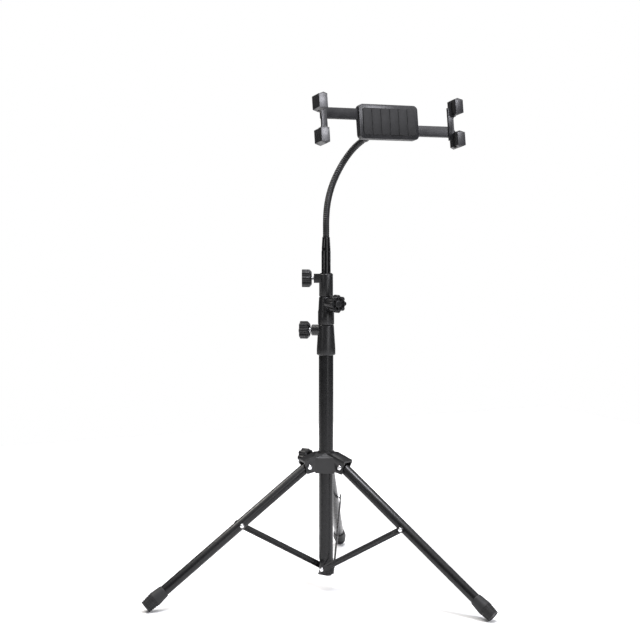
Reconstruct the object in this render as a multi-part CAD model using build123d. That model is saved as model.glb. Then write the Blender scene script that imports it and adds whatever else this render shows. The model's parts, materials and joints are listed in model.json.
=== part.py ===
from build123d import *
import os
from bisect import bisect_left
from math import acos, comb, cos, degrees, radians, sin, tan

# An adjustable floor stand with a clawed holder, in millimetres, +Z up. The origin is where the
# column's axis meets the floor, and the holder's face looks towards -Y. Angles are degrees.

# Fits that many pieces share
running = 0.08  # radial clearance of a tube, screw or pin that slides or turns
side_gap = 0.3  # between faces that pass each other
overrun = 2.0  # how far a cut runs past the face that it opens

# Telescoping column, from the floor up
column_r = 11.0
column_wall = 1.2
column_bottom_z = 25.0
column_top_z = 388.0
mid_tube_r = 9.5
mid_tube_wall = 1.0
mid_tube_bottom_z = 66.0
upper_tube_r = 8.0
upper_tube_wall = 0.8
upper_tube_bottom_z = 98.0
bush_length = 12.0
bush_spigot_length = 16.0
bush_bore_r = 5.0

# Foot of the column, pressed to a rounded triangle that takes the stays on its flats
foot_flat_r = 9.3
foot_corner_r = 6.1
foot_height = 17.0
foot_taper_height = 9.0
foot_round_share = 0.955
end_plug_flange = 1.2
end_plug_depth = 4.0

# Legs and the folding linkage
leg_azimuth = {"back": 58.9, "left": 178.9, "right": 298.9}
leg_spread = 35.9  # below the horizontal, as photographed
leg_r = 8.0
leg_wall = 1.0
leg_end_overhang = 4.5
leg_plug_length = 20.0
leg_stay_reach = 135.9  # from the hub's pivot to the stay's rivet
hub_pivot_r = 31.45
hub_pivot_z = 194.07
stay_pivot_r = 0.9
stay_pivot_z = 33.4
pivot_r = 2.0
rivet_r = 1.9
rivet_head_r = 3.3
rivet_head_height = 1.6
rivet_recess_r = 1.0
rivet_recess_depth = 0.7
dome_shoulder_share = 0.35
dome_top_share = 0.55
stay_width = 9.4
stay_thickness = 1.6
stay_bead_width = 3.6
stay_bead_height = 0.9
stay_bead_end = 13.0
stay_bead_taper = 35.0
stay_play = 0.1

# Rubber feet
foot_end_r = 9.15
foot_belly_r = 11.0
foot_length = 35.5
foot_mouth_length = 5.0
foot_belly_share = 0.52
foot_socket_share = 0.72
foot_groove_count = 4
foot_groove_width = 1.6
foot_groove_depth = 0.7
foot_block_columns = 16
foot_edge = 0.6
foot_rim = 1.5
foot_recess = 0.8

# Moulded hub that slides on the column
hub_r = 15.1
hub_ring_r = 14.6
hub_ring_height = 2.6
hub_bottom_z = 183.0
hub_top_z = 214.0
hub_arm_reach = 40.5
hub_arm_half_width = 10.3
hub_roof_drop = 9.6
hub_roof_thickness = 2.7
hub_roof_side = 4.6
hub_roof_overhang = 1.0
hub_slot_inner_r = 21.4
hub_cheek_nose = 6.6
hub_arch_rise = 3.4
hub_lug_azimuth = 118.9
hub_lug_r = 6.8
hub_lug_reach = 26.8
hub_lug_drop = 11.7
leg_screw_head_r = 3.8
leg_screw_head_height = 1.8
leg_screw_seat_depth = 0.8
leg_screw_seat_gap = 0.7

# Collars at the tubes' upper ends
collar_gap = 0.2  # between one collar and the next when the column is pushed down
lower_collar_grip = 24.6  # how far a collar reaches down its own tube
lower_collar_rise = 21.3  # and above that tube's end
lower_collar_bottom_z = column_top_z - lower_collar_grip
lower_collar_top_z = column_top_z + lower_collar_rise
lower_collar_bottom_r = 14.15
lower_collar_top_r = 11.9
collar_waist_share = 0.7
middle_collar_grip = 21.5
middle_collar_rise = 20.8
middle_collar_bottom_z = lower_collar_top_z + collar_gap
mid_tube_top_z = middle_collar_bottom_z + middle_collar_grip
middle_collar_top_z = mid_tube_top_z + middle_collar_rise
middle_collar_bottom_r = 12.3
middle_collar_top_r = 10.7
upper_collar_grip = 16.0
upper_collar_rise = 18.6
upper_collar_bottom_z = middle_collar_top_z + collar_gap
upper_tube_top_z = upper_collar_bottom_z + upper_collar_grip
upper_collar_top_z = upper_tube_top_z + upper_collar_rise
upper_collar_r = 10.5
collar_edge = 1.0
lug_r = 8.4
lower_lug_drop = 8.4  # from the collar's top to its screw
lower_lug_z = lower_collar_top_z - lower_lug_drop
lower_lug_azimuth = 144.1
lower_lug_reach = 22.0
middle_lug_drop = 8.8
middle_lug_z = middle_collar_top_z - middle_lug_drop
middle_lug_azimuth = 272.1
middle_lug_reach = 21.8
upper_lug_azimuth = 154.1
upper_lug_reach = 18.5
upper_lug_width = 15.0
upper_lug_height = 13.4
upper_lug_pocket = 3.6
upper_lug_rim = 1.4

# Star knobs
knob_r = 13.5
knob_thickness = 15.0
knob_lobes = 8
knob_lobe_r = 3.3
knob_valley_r = 11.2
knob_back_r = 9.8
knob_back_depth = 3.6
knob_cap_r = 5.4
knob_pocket_r = 9.2
knob_pocket_depth = 3.2
knob_rib_width = 1.4
knob_edge = 0.8
knob_nut_pocket_r = 7.0
knob_stand_off = 3.2  # bare thread between a knob and its lug
stud_r = 3.0
stud_in_knob = 9.0
stud_hex_across = 9.0
stud_hex_height = 2.6

# Sleeve, tube and ferrules of the flexible neck
sleeve_wall = 0.7
sleeve_flange_r = 9.2
sleeve_flange_height = 1.0
neck_tube_r = 7.0
neck_tube_wall = 0.9
neck_tube_bottom_z = 325.0
neck_tube_reach = 34.7  # above the upper collar, as photographed
neck_tube_top_z = upper_collar_top_z + neck_tube_reach
ferrule_r = 6.65
ferrule_tip_r = 5.7
ferrule_height = 21.1
ferrule_waist_share = 0.2
ferrule_spigot = 14.0
neck_insertion = 10.0

# Flexible neck: straight at both ends, along a curve in between
neck_r = 5.0
neck_valley_r = 4.4
neck_plain_r = 4.4
neck_bore_r = 2.6
neck_pitch = 3.2
neck_straight = 10.0
neck_reach = 62.1
neck_sweep = 43.5
neck_rise = 133.0
neck_curve_shares = [
    (0.0, 0.0, 0.0),
    (0.0, 0.0, 0.091),
    (0.0, 0.055, 0.413),
    (0.449, 0.986, 0.4705),
    (0.725, 1.0, 0.8252),
    (1.0, 0.264, 1.0),
]
rib_shares = [(0.0, 0), (0.25, 1), (0.62, 1), (0.87, 0)]  # along the pitch, and valley or crest
curve_steps = 400

# Ball joint
upper_ferrule_r = 6.2
upper_ferrule_length = 19.0
ball_r = 9.0
ball_distance = 46.0  # from the neck's curve to the ball's centre
ball_stud_r = 2.5
ball_stud_depth = 5.0
ball_nut_across = 8.0
ball_nut_height = 3.6
socket_r = 11.2
socket_mouth_angle = 62.0
socket_floor = 2.4
socket_taper = 2.5
socket_slots = 4
socket_slot_width = 1.5
socket_slot_length = 9.0
socket_neck_r = 8.0
socket_flange_r = 10.2
socket_flange_height = 2.0
ring_nut_r = 14.2
ring_nut_length = 14.5
ring_nut_lip = 1.3
ring_nut_grooves = 16
ring_nut_groove_r = 1.5

# Holder, in its own frame: x to the right, y up, z out of its face
holder_lean = 8.18
tablet_width = 220.6
tablet_thickness = 6.9
case_width = 100.0
case_height = 52.0
case_corner_r = 7.0
case_plate = 2.5
case_wall = 2.4
case_front_depth = 5.0
case_back_depth = 7.0
case_pad = 1.55
case_pad_margin = 6.0
case_rib_depth = 0.9
pad_groove_shares = [-0.3, -0.15, 0.0, 0.15, 0.3]
case_edge = 1.2
case_screw_inset = 5.4
case_screw_edge = 3.4
case_post_r = 2.8
case_screw_r = 1.4
case_screw_head_r = 2.2
case_screw_head_height = 1.4
swivel_ring_r = 14.0
swivel_ring_lip = 1.7
ball_setback = 33.0  # from the middle of what is held to the ball's centre

# Sliding arms and their claws
arm_height = 16.0
arm_gap = 3.3  # from the holder's middle line to an arm
arm_inner_end = 4.0
arm_groove_height = 8.0
arm_groove_depth = 1.6
tee_inner_x = 103.5
tee_outer_x = 112.4
tee_depth = 4.4
tee_step = 2.0  # from a bar's end to the upright's outer face
tee_front_gap = 0.6
tee_fillet = 4.5
claw_spacing = 50.0
claw_lip = 2.2
claw_width = 14.4
claw_shoulder_share = 0.38
claw_inner_height = 20.5
claw_mid_height = 26.0
claw_outer_height = 19.5
claw_front = 10.7
claw_back = 12.0
claw_slope_depth = 2.0  # of the sloping faces above and below a claw's front
claw_slope_height = 3.0
claw_edge = 0.8
claw_pad = 1.2
spring_r = 1.5
spring_bore_r = 0.9
spring_peg_x = 30.0
spring_post_x = 40.0
spring_peg_width = 2.0
spring_level_share = 0.25


def turned(points):
    """Turn an outline of radii and heights about the Z axis."""
    return revolve(Plane.XZ * Polygon(*points, align=None), Axis.Z)


def tube(outer_r, bore_r, low_z, high_z):
    """A plain tube about the Z axis."""
    ring = Circle(outer_r) - Circle(bore_r)
    return extrude(Pos(0, 0, low_z) * ring, amount=high_z - low_z)


def rod(radius, low_z, high_z):
    """A plain round bar about the Z axis."""
    return extrude(Pos(0, 0, low_z) * Circle(radius), amount=high_z - low_z)


def cross_rod(radius, low_y, high_y):
    """A round bar along Y."""
    return Rot(-90, 0, 0) * rod(radius, low_y, high_y)


def block(low, high):
    """A box between two corners."""
    size = [b - a for a, b in zip(low, high)]
    middle = [(a + b) / 2 for a, b in zip(low, high)]
    return Pos(*middle) * Box(*size)


def outward(shape, azimuth, z):
    """Lay a shape that stands on Z along the radius at an azimuth and a height."""
    return Rot(0, 0, azimuth) * Pos(0, 0, z) * Rot(0, 90, 0) * shape


def domed_head(radius, height, sink):
    """A low domed head above z = 0, with a small punched recess."""
    shoulder = height * dome_shoulder_share
    top = radius * dome_top_share
    head = turned([(0, -sink), (radius, -sink), (radius, shoulder), (top, height), (0, height)])
    return head - rod(rivet_recess_r, height - rivet_recess_depth, height + overrun)


# Column


def rounded_triangle(flat_r, corner_r):
    """The foot's section, with one flat on the clockwise side of each leg."""
    turn = leg_azimuth["back"] + 90
    sharp = RegularPolygon(flat_r, 3, major_radius=False, rotation=turn)
    return fillet(sharp.vertices(), corner_r)


def stay_side():
    """From the column's middle to a stay's inner face, which clears the round tube."""
    return column_r + stay_play


def foot_flat_side(shape, azimuth):
    """Put a shape that stands on Z against the foot's flat beside one leg."""
    return Rot(0, 0, azimuth) * Pos(stay_pivot_r, 0, stay_pivot_z) * Rot(90, 0, 0) * shape


def lower_tube():
    """The outer tube, with its lower end pressed to a rounded triangle."""
    foot_top = column_bottom_z + foot_height
    round_z = foot_top + foot_taper_height
    section = rounded_triangle(foot_flat_r, foot_corner_r)
    near_round = rounded_triangle(column_r, column_r * foot_round_share)
    outer = extrude(Pos(0, 0, column_bottom_z) * section, amount=foot_height)
    outer += loft([Pos(0, 0, foot_top) * section, Pos(0, 0, round_z) * near_round])
    outer += rod(column_r, round_z, column_top_z)
    hollow = rounded_triangle(foot_flat_r - column_wall, foot_corner_r - column_wall)
    bore_z = column_bottom_z - overrun
    outer -= extrude(Pos(0, 0, bore_z) * hollow, amount=foot_top - bore_z)
    outer -= rod(foot_flat_r - column_wall, foot_top - overrun, round_z + overrun)
    outer -= rod(column_r - column_wall, round_z, column_top_z + overrun)
    hole = rod(pivot_r, 0, column_r + overrun)
    for azimuth in leg_azimuth.values():
        outer -= foot_flat_side(hole, azimuth)
    return outer


def column_end_plug():
    """The moulded cap that closes the pressed foot."""
    inner_r = foot_flat_r - column_wall
    spigot = rounded_triangle(inner_r - running, foot_corner_r - column_wall - running)
    flange = rounded_triangle(foot_flat_r, foot_corner_r)
    plug = extrude(Pos(0, 0, column_bottom_z) * spigot, amount=end_plug_depth)
    return plug + extrude(Pos(0, 0, column_bottom_z) * flange, amount=-end_plug_flange)


def foot_rivets():
    """The rivets that the stays turn on, each with a shoulder on the column's flat."""
    inner = foot_flat_r - column_wall
    seat = stay_side() + stay_thickness + stay_play
    pin = rod(pivot_r, inner, seat) + rod(rivet_head_r, foot_flat_r, stay_side() - stay_play)
    pin += Pos(0, 0, seat) * domed_head(rivet_head_r, rivet_head_height, 0)
    pin += rod(rivet_head_r, inner - column_wall, inner)
    return [foot_flat_side(pin, azimuth) for azimuth in leg_azimuth.values()]


def guide_bush(outer_r, tube_r, tube_wall, tube_bottom_z):
    """The moulded bush that guides a tube's lower end inside the next tube."""
    low_z = tube_bottom_z - bush_length
    slider = tube(outer_r, bush_bore_r, low_z, tube_bottom_z)
    spigot_top_z = tube_bottom_z + bush_spigot_length
    return slider + tube(tube_r - tube_wall, bush_bore_r, tube_bottom_z, spigot_top_z)


def collar_bore(outer_tube_r, outer_tube_top_z, inner_bore_r, low_z, high_z):
    """The stepped bore that holds one tube's end and lets the next one slide."""
    seat = rod(outer_tube_r, low_z - overrun, outer_tube_top_z)
    return seat + rod(inner_bore_r, low_z - overrun, high_z + overrun)


def round_lug(reach, azimuth, z):
    """The round boss that carries a clamp screw."""
    edge_r = lug_r - collar_edge
    outline = [(0, 0), (lug_r, 0), (lug_r, reach - collar_edge), (edge_r, reach), (0, reach)]
    return outward(turned(outline), azimuth, z)


def stud_hole(reach, azimuth, z):
    """The clamp screw's hole from the bore to the lug's face."""
    return outward(rod(stud_r + running, 0, reach + overrun), azimuth, z)


def lower_collar():
    """The collar on the outer tube, which clamps the middle tube."""
    waist_z = column_top_z - (lower_collar_top_z - column_top_z) * collar_waist_share
    outline = [
        (0, lower_collar_bottom_z),
        (lower_collar_bottom_r - collar_edge, lower_collar_bottom_z),
        (lower_collar_bottom_r, lower_collar_bottom_z + collar_edge),
        (lower_collar_bottom_r, waist_z),
        (lower_collar_top_r, lower_collar_top_z - collar_edge),
        (lower_collar_top_r - collar_edge, lower_collar_top_z),
        (0, lower_collar_top_z),
    ]
    collar = turned(outline) + round_lug(lower_lug_reach, lower_lug_azimuth, lower_lug_z)
    bore_r = mid_tube_r + running
    collar -= collar_bore(column_r, column_top_z, bore_r, lower_collar_bottom_z, lower_collar_top_z)
    return collar - stud_hole(lower_lug_reach, lower_lug_azimuth, lower_lug_z)


def middle_collar():
    """The collar on the middle tube, which clamps the upper tube."""
    waist_z = mid_tube_top_z - collar_edge
    outline = [
        (0, middle_collar_bottom_z),
        (middle_collar_bottom_r - collar_edge, middle_collar_bottom_z),
        (middle_collar_bottom_r, middle_collar_bottom_z + collar_edge),
        (middle_collar_bottom_r, waist_z),
        (middle_collar_bottom_r - collar_edge / 2, waist_z + collar_edge),
        (middle_collar_top_r, middle_collar_top_z - collar_edge),
        (middle_collar_top_r - collar_edge, middle_collar_top_z),
        (0, middle_collar_top_z),
    ]
    collar = turned(outline) + round_lug(middle_lug_reach, middle_lug_azimuth, middle_lug_z)
    bore_r = upper_tube_r + running
    collar -= collar_bore(mid_tube_r, mid_tube_top_z, bore_r, middle_collar_bottom_z, middle_collar_top_z)
    return collar - stud_hole(middle_lug_reach, middle_lug_azimuth, middle_lug_z)


def upper_lug_z():
    """The height of the upper clamp screw, in the middle of its lug."""
    return upper_collar_top_z - upper_lug_height / 2


def sleeve_seat_r():
    """The bore that the neck's sleeve turns in."""
    return neck_tube_r + running + sleeve_wall + running


def upper_collar():
    """The collar on the upper tube, with a square pocketed lug that clamps the neck's sleeve."""
    outline = [
        (0, upper_collar_bottom_z),
        (upper_collar_r - collar_edge, upper_collar_bottom_z),
        (upper_collar_r, upper_collar_bottom_z + collar_edge),
        (upper_collar_r, upper_collar_top_z - collar_edge / 2),
        (upper_collar_r - collar_edge / 2, upper_collar_top_z),
        (0, upper_collar_top_z),
    ]
    lug_low = (0, -upper_lug_width / 2, upper_collar_top_z - upper_lug_height)
    lug = block(lug_low, (upper_lug_reach, upper_lug_width / 2, upper_collar_top_z))
    lug = chamfer(lug.edges().filter_by(Axis.Z).group_by(Axis.X)[-1], collar_edge)
    side_y, top_z = upper_lug_width / 2 - upper_lug_rim, upper_collar_top_z - upper_lug_rim
    floor_z = upper_collar_top_z - upper_lug_height + upper_lug_rim
    pocket_x = upper_lug_reach - upper_lug_pocket
    lug -= block((pocket_x, -side_y, floor_z), (upper_lug_reach + overrun, side_y, top_z))
    collar = turned(outline) + Rot(0, 0, upper_lug_azimuth) * lug
    seat = sleeve_seat_r()
    collar -= collar_bore(upper_tube_r, upper_tube_top_z, seat, upper_collar_bottom_z, upper_collar_top_z)
    return collar - stud_hole(upper_lug_reach, upper_lug_azimuth, upper_lug_z())


# Star knobs


def star_knob():
    """A lobed hand knob, its back at z = 0 and its face upwards."""
    spot_r = knob_r - knob_lobe_r
    star = Circle(knob_valley_r)
    star += PolarLocations(spot_r, knob_lobes) * Circle(knob_lobe_r)
    knob = extrude(star, amount=knob_thickness) & turned([
        (0, 0),
        (knob_back_r, 0),
        (knob_r, knob_back_depth),
        (knob_r, knob_thickness - knob_edge),
        (knob_r - knob_edge, knob_thickness),
        (0, knob_thickness),
    ])
    floor_z = knob_thickness - knob_pocket_depth
    pocket = Circle(knob_pocket_r) - Circle(knob_cap_r)
    for spot in PolarLocations(0, knob_lobes):
        pocket -= spot * Pos(knob_r / 2, 0) * Rectangle(knob_r, knob_rib_width)
    knob -= extrude(Pos(0, 0, floor_z) * pocket, amount=knob_pocket_depth + overrun)
    knob -= rod(knob_nut_pocket_r, -overrun, stud_hex_height)
    return knob - rod(stud_r, 0, stud_in_knob)


def clamp_stud(lug_reach, tip_r):
    """A knob's threaded stud, with the hexagon that the knob is moulded around."""
    knob_z = lug_reach + knob_stand_off
    hexagon = RegularPolygon(stud_hex_across / 2, 6, major_radius=False)
    stud = rod(stud_r, tip_r + side_gap, knob_z + stud_in_knob)
    return stud + extrude(Pos(0, 0, knob_z) * hexagon, amount=stud_hex_height)


def knob_pair(name, lug_reach, azimuth, z, tip_r):
    """One knob and its stud, as two nodes."""
    knob_z = lug_reach + knob_stand_off
    knob = outward(Pos(0, 0, knob_z) * star_knob(), azimuth, z)
    stud = outward(clamp_stud(lug_reach, tip_r), azimuth, z)
    return {f"{name}_knob": knob, f"{name}_knob_stud": stud}


# Hub


def leg_profile(shape):
    """Move a shape from the leg's own frame, X along the leg, to the leg at azimuth 0."""
    return Pos(hub_pivot_r, 0, hub_pivot_z) * Rot(0, leg_spread, 0) * shape


def roof_line(depth):
    """Two points on the arm's sloping roof, a depth below its surface."""
    slope = hub_roof_drop / (hub_arm_reach - hub_ring_r)
    fall = depth * (1 + slope**2) ** 0.5
    low_z = hub_top_z - hub_roof_drop - fall
    return (0, hub_top_z + slope * hub_ring_r - fall), (hub_arm_reach, low_z)


def hub_arm():
    """One forked arm at azimuth 0: two cheeks under a sloping roof."""
    top, tip = roof_line(0)
    under_top, under_tip = roof_line(hub_roof_side)
    roof = Polygon(top, tip, under_tip, under_top, align=None)
    arm = extrude(Plane.XZ * roof, amount=hub_arm_half_width + hub_roof_overhang, both=True)
    nose_r = hub_pivot_r + hub_cheek_nose
    cheek = Polygon(
        under_top,
        under_tip,
        (nose_r, hub_pivot_z),
        (nose_r - hub_roof_overhang, hub_bottom_z + hub_arch_rise),
        (hub_pivot_r + leg_screw_head_r, hub_bottom_z + hub_roof_overhang),
        ((hub_r + hub_pivot_r) / 2, hub_bottom_z + hub_arch_rise),
        (0, hub_bottom_z + hub_arch_rise / 2),
        align=None,
    )
    arm += extrude(Plane.XZ * cheek, amount=hub_arm_half_width, both=True)
    slot_top, slot_tip = roof_line(hub_roof_thickness)
    slope = (slot_top[1] - slot_tip[1]) / hub_arm_reach
    out_r = hub_arm_reach + overrun
    slot = Polygon(
        (hub_slot_inner_r, slot_top[1] - slope * hub_slot_inner_r),
        (out_r, slot_top[1] - slope * out_r),
        (out_r, hub_bottom_z - overrun),
        (hub_slot_inner_r, hub_bottom_z - overrun),
        align=None,
    )
    arm -= extrude(Plane.XZ * slot, amount=leg_r + side_gap, both=True)
    seat_y = hub_arm_half_width - leg_screw_seat_depth
    seat_r = leg_screw_head_r + leg_screw_seat_gap
    seat = cross_rod(seat_r, seat_y, hub_arm_half_width + overrun)
    seat += mirror(seat, about=Plane.XZ)
    seat += cross_rod(pivot_r, -hub_arm_half_width, hub_arm_half_width)
    return arm - Pos(hub_pivot_r, 0, hub_pivot_z) * seat


def hub():
    """The moulded spider: a barrel on the column, three forked arms and a screw lug."""
    ring_z = hub_top_z - hub_ring_height
    hood_r = hub_r + hub_roof_overhang
    hood_z = hub_top_z - hub_roof_side
    barrel = turned([
        (0, hub_bottom_z),
        (hub_r, hub_bottom_z),
        (hub_r, hood_z),
        (hood_r, hood_z),
        (hood_r, ring_z),
        (hub_ring_r, ring_z + collar_edge),
        (hub_ring_r, hub_top_z - collar_edge),
        (hub_ring_r - collar_edge, hub_top_z),
        (0, hub_top_z),
    ])
    spider = barrel
    for azimuth in leg_azimuth.values():
        spider += Rot(0, 0, azimuth) * hub_arm()
    boss = turned([(0, 0), (hub_lug_r, 0), (hub_lug_r, hub_lug_reach), (0, hub_lug_reach)])
    spider += outward(boss, hub_lug_azimuth, hub_lug_z())
    spider -= rod(hub_ring_r * 2, hub_top_z, hub_top_z * 2)
    spider -= rod(column_r + running, hub_bottom_z - overrun, hub_top_z + overrun)
    return spider - stud_hole(hub_lug_reach, hub_lug_azimuth, hub_lug_z())


def hub_lug_z():
    """The height of the hub's clamp screw."""
    return hub_top_z - hub_lug_drop


def leg_screws():
    """The pivot screws, with their heads on each arm's clockwise side."""
    seat_y = hub_arm_half_width - leg_screw_seat_depth
    screw = rod(pivot_r, -seat_y, seat_y)
    head = domed_head(leg_screw_head_r, leg_screw_head_height + leg_screw_seat_depth, 0)
    screw += Pos(0, 0, seat_y) * head
    screw = Pos(hub_pivot_r, 0, hub_pivot_z) * Rot(90, 0, 0) * screw
    return [Rot(0, 0, azimuth) * screw for azimuth in leg_azimuth.values()]


def leg_nuts():
    """The domed nuts on the pivot screws' other ends."""
    seat_y = hub_arm_half_width - leg_screw_seat_depth
    nut = domed_head(leg_screw_head_r, leg_screw_head_height + leg_screw_seat_depth, 0)
    nut = Pos(hub_pivot_r, 0, hub_pivot_z) * Rot(-90, 0, 0) * Pos(0, 0, seat_y) * nut
    return [Rot(0, 0, azimuth) * nut for azimuth in leg_azimuth.values()]


# Legs and stays


def leg_length():
    """From the hub's pivot to the middle of the foot's end, whose edge meets the floor."""
    return (hub_pivot_z - foot_end_r * cos(radians(leg_spread))) / sin(radians(leg_spread))


def leg_tube():
    """A leg's tube in the leg's own frame."""
    end_x = leg_length() - foot_length * (1 - foot_socket_share)
    shaft = Rot(0, 90, 0) * tube(leg_r, leg_r - leg_wall, -leg_end_overhang, end_x)
    shaft -= cross_rod(pivot_r + running, -leg_r - overrun, leg_r + overrun)
    hole = cross_rod(rivet_r, -leg_r - overrun, leg_r + overrun)
    return shaft - Pos(leg_stay_reach, 0, 0) * hole


def leg_plug():
    """The plug that keeps the tube's upper end round where the pivot screw crosses it."""
    bore_r = leg_r - leg_wall
    core = Rot(0, 90, 0) * rod(bore_r, -leg_end_overhang, leg_plug_length)
    return core - cross_rod(pivot_r + running, -leg_r, leg_r)


def foot_columns(end_x):
    """The grooves along the grip, which part its rings into blocks."""
    grip_x = end_x - foot_groove_count * foot_groove_width * 2
    wide_r = foot_belly_r * 2
    shell = turned([
        (foot_belly_r - foot_groove_depth, grip_x),
        (wide_r, grip_x),
        (wide_r, end_x - foot_groove_width),
        (foot_end_r - foot_groove_depth, end_x - foot_groove_width),
    ])
    slots = Rectangle(2 * wide_r, foot_groove_width)
    for i in range(1, foot_block_columns // 2):
        slots += Rot(0, 0, i * 360 / foot_block_columns) * Rectangle(2 * wide_r, foot_groove_width)
    return shell & extrude(Pos(0, 0, grip_x) * slots, amount=end_x - grip_x)


def leg_foot():
    """A rubber foot: narrow mouth, full belly and a grooved grip towards a square-cut end."""
    end_x = leg_length()
    mouth_x = end_x - foot_length
    belly_x = mouth_x + foot_length * foot_belly_share
    outline = [
        (0, mouth_x),
        (foot_end_r - foot_edge, mouth_x),
        (foot_end_r, mouth_x + foot_edge),
        (foot_end_r, mouth_x + foot_mouth_length),
        (foot_belly_r, belly_x),
        (foot_belly_r, end_x - foot_groove_count * foot_groove_width * 2),
        (foot_end_r, end_x),
        (0, end_x),
    ]
    foot = turned(outline)
    for i in range(foot_groove_count):
        low_x = end_x - (2 * i + 2) * foot_groove_width
        share = (end_x - low_x) / (foot_groove_count * foot_groove_width * 2)
        skin_r = foot_end_r + (foot_belly_r - foot_end_r) * share
        foot -= tube(foot_belly_r * 2, skin_r - foot_groove_depth, low_x, low_x + foot_groove_width)
    foot -= foot_columns(end_x)
    foot -= rod(foot_end_r - foot_rim, end_x - foot_recess, end_x + overrun)
    foot -= rod(leg_r, mouth_x - overrun, end_x - foot_length * (1 - foot_socket_share))
    return Rot(0, 90, 0) * foot


def leg_rivet():
    """A leg's rivet: a head on its far side and a shoulder that holds the stay off the tube."""
    shoulder_y = stay_side() - side_gap
    rivet = rod(rivet_r, -leg_r, shoulder_y) + rod(rivet_head_r, leg_r, shoulder_y)
    rivet += Rot(180, 0, 0) * Pos(0, 0, leg_r) * domed_head(rivet_head_r, rivet_head_height, 0)
    return Pos(leg_stay_reach, 0, 0) * Rot(90, 0, 0) * rivet


def stay_joint():
    """Where the stay meets the leg at azimuth 0, as radius and height."""
    spread = radians(leg_spread)
    r = hub_pivot_r + leg_stay_reach * cos(spread)
    z = hub_pivot_z - leg_stay_reach * sin(spread)
    return Vector(r, 0, z)


def stay_frame(shape):
    """Move a shape from the stay's own frame to the stay beside the leg at azimuth 0."""
    foot = Vector(stay_pivot_r, 0, stay_pivot_z)
    run = stay_joint() - foot
    rise = degrees(acos(run.X / run.length))
    return Pos(foot.X, -stay_side(), foot.Z) * Rot(0, -rise, 0) * Rot(90, 0, 0) * shape


def stay():
    """A pressed strip with a long bead, in the stay's own frame: X along it, Z outwards."""
    run = stay_joint() - Vector(stay_pivot_r, 0, stay_pivot_z)
    length = run.length
    outline = Pos(length / 2, 0) * SlotCenterToCenter(length, stay_width)
    strip = extrude(outline, amount=stay_thickness)
    bead_run = length - 2 * stay_bead_end
    bead = Pos(length / 2, 0) * SlotCenterToCenter(bead_run, stay_bead_width)
    strip += extrude(Pos(0, 0, stay_thickness) * bead, amount=stay_bead_height, taper=stay_bead_taper)
    strip -= extrude(bead, amount=stay_bead_height, taper=stay_bead_taper)
    strip -= rod(pivot_r + running, -overrun, stay_thickness + overrun)
    return strip - Pos(length, 0) * rod(rivet_r, -overrun, stay_thickness + overrun)


def stay_rivet():
    """The rivet's outer half, which stays with the strip."""
    run = stay_joint() - Vector(stay_pivot_r, 0, stay_pivot_z)
    head = domed_head(rivet_head_r, rivet_head_height, 0)
    rivet = rod(rivet_r, 0, stay_thickness) + Pos(0, 0, stay_thickness) * head
    return Pos(run.length, 0) * rivet


# Flexible neck


def clamp_sleeve():
    """The moulded sleeve between the upper collar and the neck's tube."""
    bore_r = neck_tube_r + running
    outer_r = bore_r + sleeve_wall
    top_z = upper_collar_top_z + stay_play
    sleeve = tube(outer_r, bore_r, upper_tube_top_z + side_gap, top_z)
    return sleeve + tube(sleeve_flange_r, bore_r, top_z, top_z + sleeve_flange_height)


def lower_ferrule():
    """The tapered end fitting between the neck's tube and the flexible neck."""
    top_z = neck_tube_top_z + ferrule_height
    spigot_r = neck_tube_r - neck_tube_wall
    outline = [
        (0, neck_tube_top_z - ferrule_spigot),
        (spigot_r, neck_tube_top_z - ferrule_spigot),
        (spigot_r, neck_tube_top_z),
        (ferrule_r, neck_tube_top_z),
        (ferrule_r, neck_tube_top_z + ferrule_height * ferrule_waist_share),
        (ferrule_tip_r, top_z),
        (0, top_z),
    ]
    ferrule = turned(outline) - rod(neck_bore_r, neck_tube_top_z - ferrule_height, top_z)
    return ferrule - rod(neck_plain_r + running, top_z - neck_insertion, top_z + overrun)


def curve_point(share):
    """A point of the neck's curve, and the direction that it runs in."""
    scale = Vector(neck_reach, neck_sweep, neck_rise)
    poles = [Vector(x * scale.X, y * scale.Y, z * scale.Z) for x, y, z in neck_curve_shares]
    order = len(poles) - 1
    start = Vector(0, 0, neck_tube_top_z + ferrule_height + neck_straight)
    point, run = start, Vector(0, 0, 0)
    for i, pole in enumerate(poles):
        point += pole * (comb(order, i) * share**i * (1 - share) ** (order - i))
    for i in range(order):
        weight = comb(order - 1, i) * share**i * (1 - share) ** (order - 1 - i)
        run += (poles[i + 1] - poles[i]) * weight
    return point, run.normalized()


def neck_route():
    """Distances, points and directions along the neck, with its straight ends."""
    places = [curve_point(i / curve_steps) for i in range(curve_steps + 1)]
    reaches = [neck_insertion + neck_straight]
    for (before, _), (after, _) in zip(places, places[1:]):
        reaches.append(reaches[-1] + (after - before).length)
    return reaches, places


def neck_place(route, reach):
    """The plane square to the neck at a distance from its lower end."""
    reaches, places = route
    if reach <= reaches[0]:
        point, run = places[0]
        point = point - run * (reaches[0] - reach)
    elif reach >= reaches[-1]:
        point, run = places[-1]
        point = point + run * (reach - reaches[-1])
    else:
        i = bisect_left(reaches, reach)
        share = (reach - reaches[i - 1]) / (reaches[i] - reaches[i - 1])
        (before, run_before), (after, run_after) = places[i - 1], places[i]
        point = before + (after - before) * share
        run = (run_before + (run_after - run_before) * share).normalized()
    across = Vector(1, 0, 0)
    return Plane(origin=point, x_dir=across - run * across.dot(run), z_dir=run)


def neck_length(route):
    """The neck's whole length, with both ends inside their ferrules."""
    return route[0][-1] + neck_straight + neck_insertion


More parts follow.
